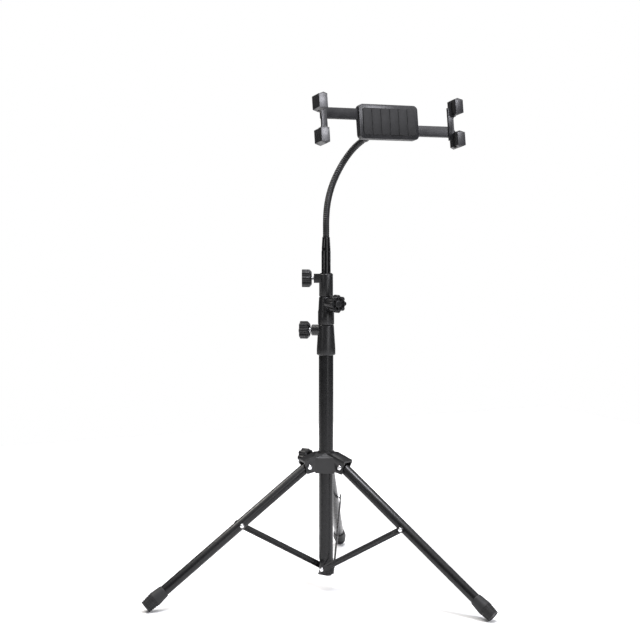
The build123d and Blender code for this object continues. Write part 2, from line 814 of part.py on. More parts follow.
def gooseneck():
    """The flexible neck: crests and valleys along its curve, plain ends and a bore."""
    route = neck_route()
    length = neck_length(route)
    ribbed = length - 2 * neck_insertion
    count = round(ribbed / neck_pitch)
    pitch = ribbed / count
    sections = [(0, neck_plain_r), (neck_insertion, neck_plain_r)]
    for i in range(count):
        for share, crest in rib_shares[1:] if i == 0 else rib_shares:
            radius = neck_r if crest else neck_valley_r
            sections.append((neck_insertion + (i + share) * pitch, radius))
    sections.append((length, neck_plain_r))
    skin = loft([neck_place(route, s) * Circle(r) for s, r in sections], ruled=True)
    stops = [0] + [neck_insertion + i * pitch * 2 for i in range(count // 2 + 1)] + [length]
    bore = loft([neck_place(route, s) * Circle(neck_bore_r) for s in stops], ruled=True)
    return skin - bore


def neck_end(shape):
    """Move a shape that stands on Z to the end of the neck's curve."""
    point, run = curve_point(1)
    across = Vector(1, 0, 0)
    frame = Plane(origin=point, x_dir=across - run * across.dot(run), z_dir=run)
    return frame.location * shape


def upper_ferrule():
    """The fitting on the neck's upper end, which the ball's stud screws into."""
    low_z = neck_straight
    top_z = low_z + upper_ferrule_length
    step_r = upper_ferrule_r - collar_edge
    body = turned([
        (0, low_z),
        (step_r, low_z),
        (upper_ferrule_r, low_z + collar_edge * 2),
        (upper_ferrule_r, top_z - collar_edge),
        (step_r, top_z),
        (0, top_z),
    ])
    body -= rod(neck_plain_r + running, low_z - overrun, low_z + neck_insertion + stay_play)
    return neck_end(body - rod(ball_stud_r, top_z - ball_stud_depth, top_z + overrun))


def ball_stud():
    """The threaded stud and its lock nut."""
    nut_z = neck_straight + upper_ferrule_length
    stud = neck_end(rod(ball_stud_r, nut_z - ball_stud_depth, ball_distance))
    hexagon = RegularPolygon(ball_nut_across / 2, 6, major_radius=False) - Circle(ball_stud_r)
    return [stud, neck_end(extrude(Pos(0, 0, nut_z) * hexagon, amount=ball_nut_height))]


def ball():
    """The moulded ball, which screws onto the stud."""
    body = Pos(0, 0, ball_distance) * Sphere(ball_r)
    flat_z = ball_distance - ball_r * cos(radians(socket_mouth_angle / 2))
    body -= rod(ball_r, flat_z - ball_r, flat_z)
    return neck_end(body - rod(ball_stud_r + running, flat_z - overrun, ball_distance + running))


# Holder


def in_holder(shape):
    """Move a shape from the holder's own frame to its place."""
    point, run = curve_point(1)
    lean = radians(holder_lean)
    facing = Vector(0, -cos(lean), sin(lean))
    middle = point + run * ball_distance + facing * ball_setback
    return Plane(origin=middle, x_dir=(1, 0, 0), z_dir=facing).location * shape


def pad_face_z():
    """The rubber pad's face, which the held device rests on."""
    return -tablet_thickness / 2


def case_front_z():
    """The front cover's face."""
    return pad_face_z() - case_pad


def case_back_z():
    """The back cover's rear face."""
    return case_front_z() - case_front_depth - case_back_depth


def case_block(low_z, high_z, inset):
    """A rounded slab of the case, drawn in by an inset all round."""
    outline = RectangleRounded(
        case_width - 2 * inset, case_height - 2 * inset, case_corner_r - inset
    )
    return extrude(Pos(0, 0, low_z) * outline, amount=high_z - low_z)


def arm_front_z():
    """The arms' front face, just behind the front cover's plate."""
    return case_front_z() - case_plate - side_gap


def arm_back_z():
    """The arms' rear face, just in front of the back cover's plate."""
    return case_back_z() + case_plate + side_gap


def arm_windows():
    """The openings in the case's ends that the arms slide through."""
    low = (case_width / 2 - case_corner_r, -arm_gap - arm_height - side_gap, arm_back_z() - side_gap)
    high = (case_width / 2 + overrun, -arm_gap + side_gap, arm_front_z() + side_gap)
    window = block(low, high)
    return window + Rot(0, 0, 180) * window


def case_screw_spots():
    """The four corner screws' places."""
    x, y = case_width / 2 - case_screw_inset, case_height / 2 - case_screw_edge
    return [(x, y), (-x, y), (-x, -y), (x, -y)]


def case_posts(low_z, high_z):
    """Corner posts inside a cover, with the screws' holes."""
    return [Pos(x, y) * rod(case_post_r, low_z, high_z) for x, y in case_screw_spots()]


def front_cover():
    """The case's front half, an open shell with a plate that carries the rubber pad."""
    front_z = case_front_z()
    seam_z = front_z - case_front_depth
    cover = case_block(seam_z, front_z, 0)
    cover -= case_block(seam_z - overrun, front_z - case_plate, case_wall)
    for post in case_posts(seam_z, front_z - case_plate):
        cover += post & case_block(seam_z, front_z, case_wall / 2)
    for x, y in case_screw_spots():
        cover -= Pos(x, y) * rod(case_screw_r, seam_z - overrun, front_z - case_plate / 2)
    return in_holder(cover - arm_windows())


def back_cover():
    """The case's rear half, with screw posts and the springs' two posts."""
    back_z = case_back_z()
    seam_z = back_z + case_back_depth
    cover = case_block(back_z, seam_z, 0)
    cover = chamfer(cover.faces().sort_by(Axis.Z)[0].edges(), case_edge)
    cover -= case_block(back_z + case_plate, seam_z + overrun, case_wall)
    for post in case_posts(back_z, seam_z):
        cover += post & case_block(back_z, seam_z, case_wall / 2)
    for x, y in case_screw_spots():
        cover -= Pos(x, y) * rod(case_screw_r, back_z - overrun, seam_z + overrun)
        seat_z = back_z + case_screw_head_height
        cover -= Pos(x, y) * rod(case_screw_head_r + running, back_z - overrun, seat_z)
    cover += spring_posts()
    return in_holder(cover - arm_windows())


def spring_z(level):
    """The height of a spring's axis in the case: level 0 in front, 1 behind."""
    front, back = arm_front_z(), arm_back_z()
    return front + (back - front) * (level / 2 + spring_level_share)


def spring_posts():
    """The two posts that hold the springs' fixed ends."""
    floor_z = case_back_z() + case_plate
    half = spring_peg_width / 2
    posts = []
    for level, x in ((0, spring_post_x), (1, -spring_post_x)):
        top_z = spring_z(level) + spring_r
        posts.append(block((x - half, -spring_r, floor_z), (x + half, spring_r, top_z)))
    return posts


def arm_spring(level):
    """An arm's tension spring, drawn as the right one: a plain sleeve of the coil's size."""
    half = spring_peg_width / 2
    length = spring_post_x + spring_peg_x - 2 * half
    sleeve = Rot(0, 90, 0) * tube(spring_r, spring_bore_r, 0, length)
    return Pos(-spring_post_x + half, 0, spring_z(level)) * sleeve


def front_pad():
    """The rubber pad that the held device rests on, with shallow cross grooves."""
    low_z = case_front_z()
    outline = RectangleRounded(
        case_width - 2 * case_pad_margin, case_height - 2 * case_pad_margin, case_corner_r / 2
    )
    pad = extrude(Pos(0, 0, low_z) * outline, amount=case_pad)
    groove_z = pad_face_z() - case_rib_depth
    for share in pad_groove_shares:
        x = case_width * share
        low = (x - case_rib_depth, -case_height, groove_z)
        pad -= block(low, (x + case_rib_depth, case_height, groove_z + overrun))
    return in_holder(pad)


def cover_screws():
    """The four small screws that close the case from behind."""
    back_z = case_back_z()
    tip_z = case_front_z() - case_plate
    screw = rod(case_screw_r, back_z + case_screw_head_height, tip_z)
    screw += rod(case_screw_head_r, back_z, back_z + case_screw_head_height)
    screw -= rod(rivet_recess_r, back_z - overrun, back_z + rivet_recess_depth)
    return [in_holder(Pos(x, y) * screw) for x, y in case_screw_spots()]


def swivel_ring():
    """The ring behind the case that holds the socket's flange and lets it turn."""
    back_z = case_back_z()
    pocket_z = back_z - side_gap - socket_flange_height - side_gap
    rear_z = pocket_z - swivel_ring_lip
    edge_r = swivel_ring_r - collar_edge
    ring = turned([(0, back_z), (swivel_ring_r, back_z), (swivel_ring_r, rear_z + collar_edge),
                   (edge_r, rear_z), (0, rear_z)])
    ring -= rod(socket_flange_r + running, pocket_z, back_z + overrun)
    return in_holder(ring - rod(socket_neck_r + running, rear_z - overrun, back_z))


def ball_socket():
    """The split socket that grips the ball, on a flange that turns behind the case."""
    flange_z = case_back_z() - side_gap
    neck_z = flange_z - socket_flange_height
    cup_z = -ball_setback + ball_r + socket_floor
    mouth_z = -ball_setback - ball_r * cos(radians(socket_mouth_angle))
    socket = turned([
        (0, flange_z),
        (socket_flange_r, flange_z),
        (socket_flange_r, neck_z),
        (socket_neck_r, neck_z),
        (socket_neck_r, cup_z),
        (socket_r, cup_z),
        (socket_r, mouth_z + socket_taper),
        (socket_r - socket_taper / 2, mouth_z),
        (0, mouth_z),
    ])
    socket -= Pos(0, 0, -ball_setback) * Sphere(ball_r + running)
    slot_low = (-socket_r * 2, -socket_slot_width / 2, mouth_z - overrun)
    slot_high = (socket_r * 2, socket_slot_width / 2, mouth_z + socket_slot_length)
    for i in range(socket_slots // 2):
        socket -= Rot(0, 0, i * 360 / socket_slots) * block(slot_low, slot_high)
    return in_holder(socket)


def ring_nut():
    """The grooved nut that tightens the socket on the ball."""
    mouth_z = -ball_setback - ball_r * cos(radians(socket_mouth_angle))
    rear_z = mouth_z - ring_nut_lip
    front_z = rear_z + ring_nut_length
    bore_r = socket_r + side_gap / 2
    lip_r = bore_r - (socket_taper + ring_nut_lip) / 2
    nut = turned([
        (bore_r, front_z),
        (ring_nut_r, front_z),
        (ring_nut_r, rear_z + collar_edge),
        (ring_nut_r - collar_edge, rear_z),
        (lip_r, rear_z),
        (bore_r, mouth_z + socket_taper),
    ])
    groove_r = ring_nut_r + ring_nut_groove_r / 2
    groove = rod(ring_nut_groove_r, rear_z - overrun, front_z + overrun)
    for spot in PolarLocations(groove_r, ring_nut_grooves):
        nut -= spot * groove
    return in_holder(nut)


def claw():
    """One claw of the right arm, without its opening: a six-sided block with a sloped front."""
    side_x = tablet_width / 2
    inner_x = side_x - claw_lip
    outer_x = inner_x + claw_width
    shoulder_x = inner_x + claw_width * claw_shoulder_share
    half = [
        (inner_x, claw_inner_height / 2),
        (shoulder_x, claw_mid_height / 2),
        (outer_x, claw_outer_height / 2),
    ]
    outline = Polygon(*half, *[(x, -y) for x, y in reversed(half)], align=None)
    body = extrude(Pos(0, 0, -claw_back) * outline, amount=claw_front + claw_back, dir=(0, 0, 1))
    full_y, front_y = claw_mid_height / 2, claw_mid_height / 2 - claw_slope_height
    slope_z = claw_front - claw_slope_depth
    above = [(full_y, -claw_back), (full_y, slope_z), (front_y, claw_front)]
    profile = Polygon(*above, *[(-y, z) for y, z in reversed(above)], align=None)
    body &= extrude(Plane.YZ * profile, amount=outer_x + overrun, dir=(1, 0, 0))
    return chamfer(body.faces().sort_by(Axis.Z)[-1].edges().filter_by(Axis.Y), claw_edge)


def claw_mouth():
    """The room that the held device's edge and the claw's rubber take, across both claws."""
    side_x = tablet_width / 2
    low = (tee_inner_x - side_x, -claw_spacing, tee_front_z())
    high = (side_x + claw_pad, claw_spacing, tablet_thickness / 2 + claw_pad)
    return block(low, high)


def tee_front_z():
    """The front face of the upright that joins two claws."""
    return -tablet_thickness / 2 - tee_front_gap


def arm(level):
    """A sliding arm, drawn as the right one: bar, upright, two claws and a spring peg."""
    front_z, back_z = arm_front_z(), arm_back_z()
    bar_end = tee_outer_x - tee_step
    bar = block((arm_inner_end, -arm_gap - arm_height, back_z), (bar_end, -arm_gap, front_z))
    middle_y = -arm_gap - arm_height / 2
    groove_low = (case_width / 2 + arm_groove_depth, middle_y - arm_groove_height / 2, back_z - overrun)
    groove_high = (tee_inner_x, middle_y + arm_groove_height / 2, back_z + arm_groove_depth)
    bar -= block(groove_low, groove_high)
    half = claw_spacing / 2
    tee_back = tee_front_z() - tee_depth
    upright = block((tee_inner_x, -half, tee_back), (tee_outer_x, half, tee_front_z()))
    claws = Pos(0, half) * claw() + Pos(0, -half) * claw()
    claws -= claw_mouth()
    body = bar + upright + claws
    waist = half - claw_mid_height / 2
    hollow = Pos(tee_outer_x + tee_fillet, 0) * Circle(tee_fillet)
    for side in (1, -1):
        top_y, low_y = waist + 2 * claw_edge, waist - tee_fillet
        web = Pos(tee_outer_x + tee_fillet / 2, side * (top_y + low_y) / 2) * Rectangle(
            tee_fillet, top_y - low_y
        )
        web -= Pos(0, side * low_y) * hollow
        body += extrude(Pos(0, 0, tee_back) * web, amount=tee_depth, dir=(0, 0, 1))
    half_peg = spring_peg_width / 2
    peg_z = spring_z(level)
    peg_low = (spring_peg_x - half_peg, -arm_gap, peg_z - spring_r)
    return body + block(peg_low, (spring_peg_x + half_peg, spring_r, peg_z + spring_r))


def claw_pads():
    """The rubber linings of the right arm's two claws."""
    side_x = tablet_width / 2
    half_z = tablet_thickness / 2
    half_y = claw_inner_height / 2 - claw_edge
    pad = block((side_x, -half_y, -half_z), (side_x + claw_pad, half_y, half_z + claw_pad))
    lip_low = (side_x - claw_lip + claw_edge, -half_y, half_z)
    pad += block(lip_low, (side_x + claw_pad, half_y, half_z + claw_pad))
    return [Pos(0, side * claw_spacing / 2) * pad for side in (1, -1)]


# The whole stand


def stand():
    """Every node of the stand by name, each a solid or a list of solids."""
    nodes = {
        "lower_tube": lower_tube(),
        "column_end_plug": column_end_plug(),
        "foot_rivets": foot_rivets(),
        "lower_collar": lower_collar(),
        "hub": hub(),
        "leg_screws": leg_screws(),
        "leg_nuts": leg_nuts(),
        "mid_tube": tube(mid_tube_r, mid_tube_r - mid_tube_wall, mid_tube_bottom_z, mid_tube_top_z),
        "mid_tube_bush": guide_bush(
            column_r - column_wall - running, mid_tube_r, mid_tube_wall, mid_tube_bottom_z
        ),
        "middle_collar": middle_collar(),
        "upper_tube": tube(
            upper_tube_r, upper_tube_r - upper_tube_wall, upper_tube_bottom_z, upper_tube_top_z
        ),
        "upper_tube_bush": guide_bush(
            mid_tube_r - mid_tube_wall - running, upper_tube_r, upper_tube_wall, upper_tube_bottom_z
        ),
        "upper_collar": upper_collar(),
        "clamp_sleeve": clamp_sleeve(),
        "neck_tube": tube(
            neck_tube_r, neck_tube_r - neck_tube_wall, neck_tube_bottom_z, neck_tube_top_z
        ),
        "lower_ferrule": lower_ferrule(),
        "gooseneck": gooseneck(),
        "upper_ferrule": upper_ferrule(),
        "ball_stud": ball_stud(),
        "ball": ball(),
        "ball_socket": ball_socket(),
        "ring_nut": ring_nut(),
        "swivel_ring": swivel_ring(),
        "back_cover": back_cover(),
        "front_cover": front_cover(),
        "front_pad": front_pad(),
        "cover_screws": cover_screws(),
        "right_arm": in_holder(arm(1)),
        "right_arm_spring": in_holder(arm_spring(1)),
        "right_claw_pads": [in_holder(pad) for pad in claw_pads()],
        "left_arm": in_holder(Rot(0, 0, 180) * arm(0)),
        "left_arm_spring": in_holder(Rot(0, 0, 180) * arm_spring(0)),
        "left_claw_pads": [in_holder(Rot(0, 0, 180) * pad) for pad in claw_pads()],
    }
    nodes |= knob_pair("hub", hub_lug_reach, hub_lug_azimuth, hub_lug_z(), column_r)
    nodes |= knob_pair("lower", lower_lug_reach, lower_lug_azimuth, lower_lug_z, mid_tube_r)
    nodes |= knob_pair("middle", middle_lug_reach, middle_lug_azimuth, middle_lug_z, upper_tube_r)
    sleeve_r = neck_tube_r + running + sleeve_wall
    nodes |= knob_pair("upper", upper_lug_reach, upper_lug_azimuth, upper_lug_z(), sleeve_r)
    for name, azimuth in leg_azimuth.items():
        turn = Rot(0, 0, azimuth)
        nodes[f"{name}_leg_tube"] = turn * leg_profile(leg_tube())
        nodes[f"{name}_leg_plug"] = turn * leg_profile(leg_plug())
        nodes[f"{name}_leg_foot"] = turn * leg_profile(leg_foot())
        nodes[f"{name}_leg_rivet"] = turn * leg_profile(leg_rivet())
        nodes[f"{name}_stay"] = turn * stay_frame(stay())
        nodes[f"{name}_stay_rivet"] = turn * stay_frame(stay_rivet())
    return nodes


def main():
    """Write each node to its own STEP file."""
    os.makedirs("parts", exist_ok=True)
    for name, shape in stand().items():
        solids = shape if isinstance(shape, list) else [shape]
        export_step(Compound(children=[s for piece in solids for s in piece.solids()]), f"parts/{name}.step")


if __name__ == "__main__":
    main()
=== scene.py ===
"""A folding floor stand with a clawed holder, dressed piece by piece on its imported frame.

Lengths are in metres. The origin is where the column's axis meets the floor, +Z is up and the
holder's face looks towards -Y.
"""

from __future__ import annotations

import json
import logging
import math
from dataclasses import dataclass, field
from enum import Enum

import bmesh
import bpy
import numpy as np
from mathutils import Euler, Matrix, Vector


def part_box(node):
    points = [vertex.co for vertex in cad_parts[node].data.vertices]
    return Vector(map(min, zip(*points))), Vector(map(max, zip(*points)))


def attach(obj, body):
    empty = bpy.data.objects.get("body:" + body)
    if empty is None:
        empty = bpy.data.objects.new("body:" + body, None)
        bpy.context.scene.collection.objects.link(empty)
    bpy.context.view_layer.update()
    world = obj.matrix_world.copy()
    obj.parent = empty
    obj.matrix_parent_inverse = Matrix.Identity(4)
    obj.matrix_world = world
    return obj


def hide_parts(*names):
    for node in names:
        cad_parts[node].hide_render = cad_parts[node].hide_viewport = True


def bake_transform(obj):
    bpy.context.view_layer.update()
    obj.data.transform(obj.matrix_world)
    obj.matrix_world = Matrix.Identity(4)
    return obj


log = logging.getLogger("stand")

MM = 0.001

# How a mesh is cleaned and its edges rounded: lengths in metres, angles in degrees
MERGE_WITHIN = 2e-6
SLIVER = 1e-7
FLAT_ANGLE = 0.8
EDGE_ANGLE = 30.0
EDGE_STEPS = 2

Array = np.ndarray


# Surfaces


def unit(vectors: Array) -> Array:
    """A vector, or each row of vectors, scaled to a length of one."""
    return vectors / np.linalg.norm(vectors, axis=-1, keepdims=True)


def in_scene(name: str, data: bpy.types.ID) -> bpy.types.Object:
    """A new object of the scene, at the origin, that holds the data."""
    thing = bpy.data.objects.new(name, data)
    bpy.context.scene.collection.objects.link(thing)
    return thing


def grid_mesh(name: str, *grids: Array, sharp: float = 38.0) -> bpy.types.Object:
    """Make a mesh object from grids of points, with a quad between each four neighbours.

    Args:
        name: the object's name.
        grids: arrays of rows x columns x 3; rows run along the piece, and the last column
            joins the first.
        sharp: the angle in degrees past which an edge stays crisp.

    Returns:
        The new object, linked to the scene, at the origin.
    """
    vertices, faces, count = [], [], 0
    for points in grids:
        rows, columns = points.shape[:2]
        index = count + np.arange(rows * columns).reshape(rows, columns)
        index = np.concatenate([index, index[:, :1]], axis=1)
        quads = np.stack([index[:-1, :-1], index[:-1, 1:], index[1:, 1:], index[1:, :-1]], axis=-1)
        vertices.append(points.reshape(-1, 3))
        faces.append(quads.reshape(-1, 4))
        count += rows * columns
    return mesh_object(name, np.concatenate(vertices), np.concatenate(faces), sharp)


def mesh_object(name: str, vertices: Array, faces: Array, sharp: float = 38.0) -> bpy.types.Object:
    """Make a mesh object from arrays of vertices and faces, with its doubles merged.

    Args:
        name: the object's name.
        vertices: an array of n x 3.
        faces: an array of m x 4 vertex numbers.
        sharp: the angle in degrees past which an edge stays crisp.

    Returns:
        The new object, linked to the scene, at the origin.
    """
    mesh = bpy.data.meshes.new(name)
    mesh.from_pydata(vertices.tolist(), [], faces.tolist())
    thing = in_scene(name, mesh)
    tidy_mesh(mesh, turn_out=True)
    shade(mesh, sharp)
    return thing


def tidy_mesh(mesh: bpy.types.Mesh, turn_out: bool, flat: float = 0.0) -> None:
    """Merge the vertices that lie together, which closes poles and seams.

    Args:
        mesh: the mesh to change.
        turn_out: whether its faces are turned outwards afterwards.
        flat: the angle in degrees under which faces are joined to one, or 0 to keep them all.
    """
    work = bmesh.new()
    work.from_mesh(mesh)
    bmesh.ops.remove_doubles(work, verts=work.verts, dist=MERGE_WITHIN)
    bmesh.ops.dissolve_degenerate(work, dist=SLIVER, edges=work.edges)
    if flat:
        bmesh.ops.dissolve_limit(work, angle_limit=math.radians(flat), verts=work.verts, edges=work.edges)
    if turn_out:
        bmesh.ops.recalc_face_normals(work, faces=work.faces)
    work.to_mesh(mesh)
    work.free()


def shade(mesh: bpy.types.Mesh, sharp: float) -> None:
    """Shade a mesh smooth, with crisp edges past an angle in degrees."""
    mesh.polygons.foreach_set("use_smooth", np.ones(len(mesh.polygons), bool))
    mesh.set_sharp_from_angle(angle=math.radians(sharp))


def softened(name: str, node: str, width: float) -> bpy.types.Object:
    """A finer copy of a node of the frame, its vertices merged and its edges rounded.

    Args:
        name: the new piece's name.
        node: the node that is copied.
        width: how wide its edges are rounded, or 0 for edges that stay crisp.

    Returns:
        The new object, linked to the scene, at the origin.
    """
    mesh = STAND["nodes"][node].data.copy()
    mesh.name = name
    tidy_mesh(mesh, turn_out=False, flat=FLAT_ANGLE if width else 0.0)
    thing = in_scene(name, mesh)
    if width:
        bevel = thing.modifiers.new("rounded_edges", "BEVEL")
        bevel.width = width
        bevel.segments = EDGE_STEPS
        bevel.limit_method = "ANGLE"
        bevel.angle_limit = math.radians(EDGE_ANGLE)
        bevel.harden_normals = True
        mesh.polygons.foreach_set("use_smooth", np.ones(len(mesh.polygons), bool))
    else:
        shade(mesh, EDGE_ANGLE)
    return thing


def smooth_step(value: Array) -> Array:
    """A ramp from 0 to 1 that starts and ends level."""
    t = np.clip(value, 0.0, 1.0)
    return t * t * (3 - 2 * t)


def eased(outline: Array, width: float, steps: int = 4) -> Array:
    """Round the corners of an outline: each corner becomes a short parabola between its sides.

    Args:
        outline: points in order, n x 2.
        width: how far along each side the rounding reaches, at most 0.45 of the side.
        steps: points on each rounded corner.

    Returns:
        The rounded outline, with its two ends kept.
    """
    corner = outline[1:-1]
    back, ahead = outline[:-2] - corner, outline[2:] - corner
    reach_back = np.linalg.norm(back, axis=1, keepdims=True)
    reach_ahead = np.linalg.norm(ahead, axis=1, keepdims=True)
    most = 0.45
    first = corner + back / reach_back * np.minimum(width, reach_back * most)
    last = corner + ahead / reach_ahead * np.minimum(width, reach_ahead * most)
    t = np.linspace(0.0, 1.0, steps)[None, :, None]
    arcs = (1 - t) ** 2 * first[:, None] + 2 * t * (1 - t) * corner[:, None] + t**2 * last[:, None]
    return np.concatenate([outline[:1], arcs.reshape(-1, 2), outline[-1:]])


def capped(skin: Array) -> Array:
    """Close a skin of rings at both ends, each by a row of points in the middle of its last ring."""
    caps = [np.broadcast_to(skin[i].mean(axis=0), skin[i].shape)[None] for i in (0, -1)]
    return np.concatenate([caps[0], skin, caps[1]])


def along_route(places: Array, reaches: Array, values: Array) -> Array:
    """The values at places along a route, straight between those known at its reaches."""
    return np.stack([np.interp(places, reaches, column) for column in values.T], axis=1)


def full_turn(columns: int) -> Array:
    """Evenly spaced angles round a circle."""
    return np.linspace(0.0, 2 * np.pi, columns, endpoint=False)


def rows(columns: int, *pairs: tuple[Array | float, Array | float]) -> tuple[Array, Array]:
    """Spread pairs of a radius and a height over a grid, one row for each pair.

    Args:
        columns: the grid's columns.
        pairs: a radius and a height, each as one number or as one for each column.

    Returns:
        The radii and the heights, each rows x columns.
    """
    spread = [[np.broadcast_to(value, columns) for value in pair] for pair in pairs]
    radii, heights = np.array(spread, float).transpose(1, 0, 2)
    return radii, heights


@dataclass(frozen=True)
class Axis:
    """A line in space with a direction, which turned pieces stand on."""

    origin: tuple[float, float, float]
    direction: tuple[float, float, float]

    def basis(self) -> Array:
        """Three rows: two directions across the axis, and the axis itself."""
        z = unit(np.array(self.direction, float))
        near = np.array([0.0, 0.0, 1.0]) if abs(z[2]) < 0.9 else np.array([1.0, 0.0, 0.0])
        x = unit(np.cross(near, z))
        return np.array([x, np.cross(z, x), z])

    def place(self, local: Array) -> Array:
        """Move points from the axis's own frame, Z along it, to the stand's frame."""
        return np.array(self.origin) + local @ self.basis()

    def shift(self, forward: float, flip: bool = False) -> Axis:
        """The same line from a place further along it, turned round if flip is true."""
        z = unit(np.array(self.direction, float))
        return Axis(tuple(np.array(self.origin) + z * forward), tuple(-z if flip else z))

    def local(self, node: str) -> Array:
        """The vertices of a node of the frame, in the axis's own frame."""
        mesh = STAND["nodes"][node].data
        flat = np.zeros(len(mesh.vertices) * 3, np.float32)
        mesh.vertices.foreach_get("co", flat)
        return (flat.reshape(-1, 3).astype(float) - np.array(self.origin)) @ self.basis().T

    def span(self, node: str, within: float = 1.0) -> tuple[float, float]:
        """The lowest and highest place along the axis of a node's points within a distance of it."""
        points = self.local(node)
        near = np.hypot(points[:, 0], points[:, 1]) < within
        return float(points[near, 2].min()), float(points[near, 2].max())

    def through(self, node: str) -> Axis:
        """The parallel line through the middle of a node."""
        points = self.local(node)
        middle = (points.min(axis=0) + points.max(axis=0)) / 2
        middle[2] = 0.0
        return Axis(tuple(self.place(middle)), self.direction)

    def carried(self, radius: Array, height: Array, turn: Array) -> Array:
        """Points of a surface round the axis, from their radius, height and turn.

        Args:
            radius: distances from the axis, for rows x columns or what spreads to that.
            height: distances along the axis.
            turn: angles round the axis.

        Returns:
            The points, rows x columns x 3, in the stand's frame.
        """
        radius, height, turn = np.broadcast_arrays(radius, height, turn)
        return self.place(np.stack([radius * np.cos(turn), radius * np.sin(turn), height], axis=-1))

    def turned(self, outline: Array, columns: int = 96) -> Array:
        """The points of an outline of radii and heights, turned about the axis."""
        return self.carried(outline[:, :1], outline[:, 1:], full_turn(columns)[None])


def joint_axis(name: str) -> Axis:
    """The axis of a hinge of the frame."""
    joint = next(j for j in STAND["joints"] if j["name"] == name)
    return Axis(tuple(joint["pos_m"]), tuple(joint["axis"]))


@dataclass(frozen=True)
class Leg:
    """One of the three legs: its side, the way that it points and how steeply it falls."""

    side: str
    azimuth: float
    fall: float = 35.9

    def axis(self) -> Axis:
        """The middle line of the leg, from the hub's pivot outwards and down."""
        turn, fall = math.radians(self.azimuth), math.radians(self.fall)
        run = (math.cos(turn) * math.cos(fall), math.sin(turn) * math.cos(fall), -math.sin(fall))
        return Axis(joint_axis(f"{self.side}_leg_fold").origin, run)


UPRIGHT = Axis((0.0, 0.0, 0.0), (0.0, 0.0, 1.0))
LEGS = (Leg("back", 58.9), Leg("left", 178.9), Leg("right", 298.9))
LEG_SIDES = tuple(leg.side for leg in LEGS)
ARM_SIDES = ("left", "right")


# Finishes


class Grain(Enum):
    """How a surface feels: the small relief that its noise makes."""

    POWDER = "powder"
    SPARK = "spark"
    RUBBER = "rubber"
    PLATED = "plated"
    SMOOTH = "smooth"


@dataclass(frozen=True)
class Finish:
    """One finish of the stand: colour, gloss, and grain worked out by noise."""

    name: str
    colour: tuple[float, float, float]
    roughness: float
    grain: Grain
    metallic: float = 0.0
    reflection: float = 0.3
    coat: float = 0.0
    coat_roughness: float = 0.2
    grain_per_metre: float = 1500.0
    grain_depth: float = 0.2
    grain_height: float = 0.1 * MM
    mottle: float = 0.15
    mottle_per_metre: float = 90.0
    gloss_spread: float = 0.08

    def material(self) -> bpy.types.Material:
        """Build the node tree: a slow mottle for colour and gloss, a fine grain for relief.

        Returns:
            The material, made once and then shared.
        """
        known = bpy.data.materials.get(self.name)
        if known is not None:
            return known
        material = bpy.data.materials.new(self.name)
        material.use_nodes = True
        tree = material.node_tree
        shader = tree.nodes["Principled BSDF"]
        shader.inputs["Metallic"].default_value = self.metallic
        shader.inputs["Specular IOR Level"].default_value = self.reflection
        shader.inputs["Coat Weight"].default_value = self.coat
        shader.inputs["Coat Roughness"].default_value = self.coat_roughness
        place = tree.nodes.new("ShaderNodeTexCoord").outputs["Object"]
        slow = self._noise(tree, place, self.mottle_per_metre, detail=3.0)
        low, high = 1.0 - self.mottle, 1.0 + self.mottle
        tint = tree.nodes.new("ShaderNodeMix")
        tint.data_type = "RGBA"
        tree.links.new(slow, tint.inputs["Factor"])
        tint.inputs["A"].default_value = (*[c * low for c in self.colour], 1.0)
        tint.inputs["B"].default_value = (*[c * high for c in self.colour], 1.0)
        tree.links.new(tint.outputs["Result"], shader.inputs["Base Color"])
        gloss = tree.nodes.new("ShaderNodeMapRange")
        gloss.inputs["To Min"].default_value = self.roughness - self.gloss_spread
        gloss.inputs["To Max"].default_value = self.roughness + self.gloss_spread
        fine = self._noise(tree, place, self.grain_per_metre, detail=2.0)
        tree.links.new(fine if self.grain is Grain.PLATED else slow, gloss.inputs["Value"])
        tree.links.new(gloss.outputs["Result"], shader.inputs["Roughness"])
        if self.grain is not Grain.SMOOTH:
            relief = tree.nodes.new("ShaderNodeBump")
            relief.inputs["Strength"].default_value = self.grain_depth
            relief.inputs["Distance"].default_value = self.grain_height
            tree.links.new(fine, relief.inputs["Height"])
            tree.links.new(relief.outputs["Normal"], shader.inputs["Normal"])
        return material

    @staticmethod
    def _noise(
        tree: bpy.types.NodeTree, place: bpy.types.NodeSocket, scale: float, detail: float
    ) -> bpy.types.NodeSocket:
        """Add a noise texture at a scale per metre.

        Args:
            tree: the material's node tree.
            place: the coordinates it reads.
            scale: features per metre.
            detail: octaves of finer noise.

        Returns:
            The noise's value.
        """
        noise = tree.nodes.new("ShaderNodeTexNoise")
        noise.inputs["Scale"].default_value = scale
        noise.inputs["Detail"].default_value = detail
        tree.links.new(place, noise.inputs["Vector"])
        return noise.outputs["Fac"]


POWDER_COAT = Finish(
    "powder_coat_black", (0.006, 0.006, 0.0065), 0.27, Grain.POWDER, grain_per_metre=1400.0, grain_depth=0.07
)
ENAMEL = Finish(
    "enamel_black", (0.004, 0.004, 0.0045), 0.14, Grain.SMOOTH, coat=0.3, coat_roughness=0.08
)
MOULDED = Finish(
    "moulding_black", (0.008, 0.008, 0.0086), 0.34, Grain.SPARK,
    reflection=0.45, grain_per_metre=2600.0, grain_depth=0.3,
)
KNOB_BLACK = Finish(
    "knob_black", (0.008, 0.008, 0.0086), 0.36, Grain.SPARK, grain_per_metre=2200.0, grain_depth=0.2
)
ZINC = Finish(
    "zinc_bright", (0.80, 0.80, 0.81), 0.24, Grain.PLATED,
    metallic=1.0, reflection=0.5, mottle=0.05, grain_depth=0.05,
)
FOOT_RUBBER = Finish(
    "rubber_dark", (0.014, 0.014, 0.0145), 0.55, Grain.RUBBER, grain_per_metre=1800.0, grain_depth=0.35
)
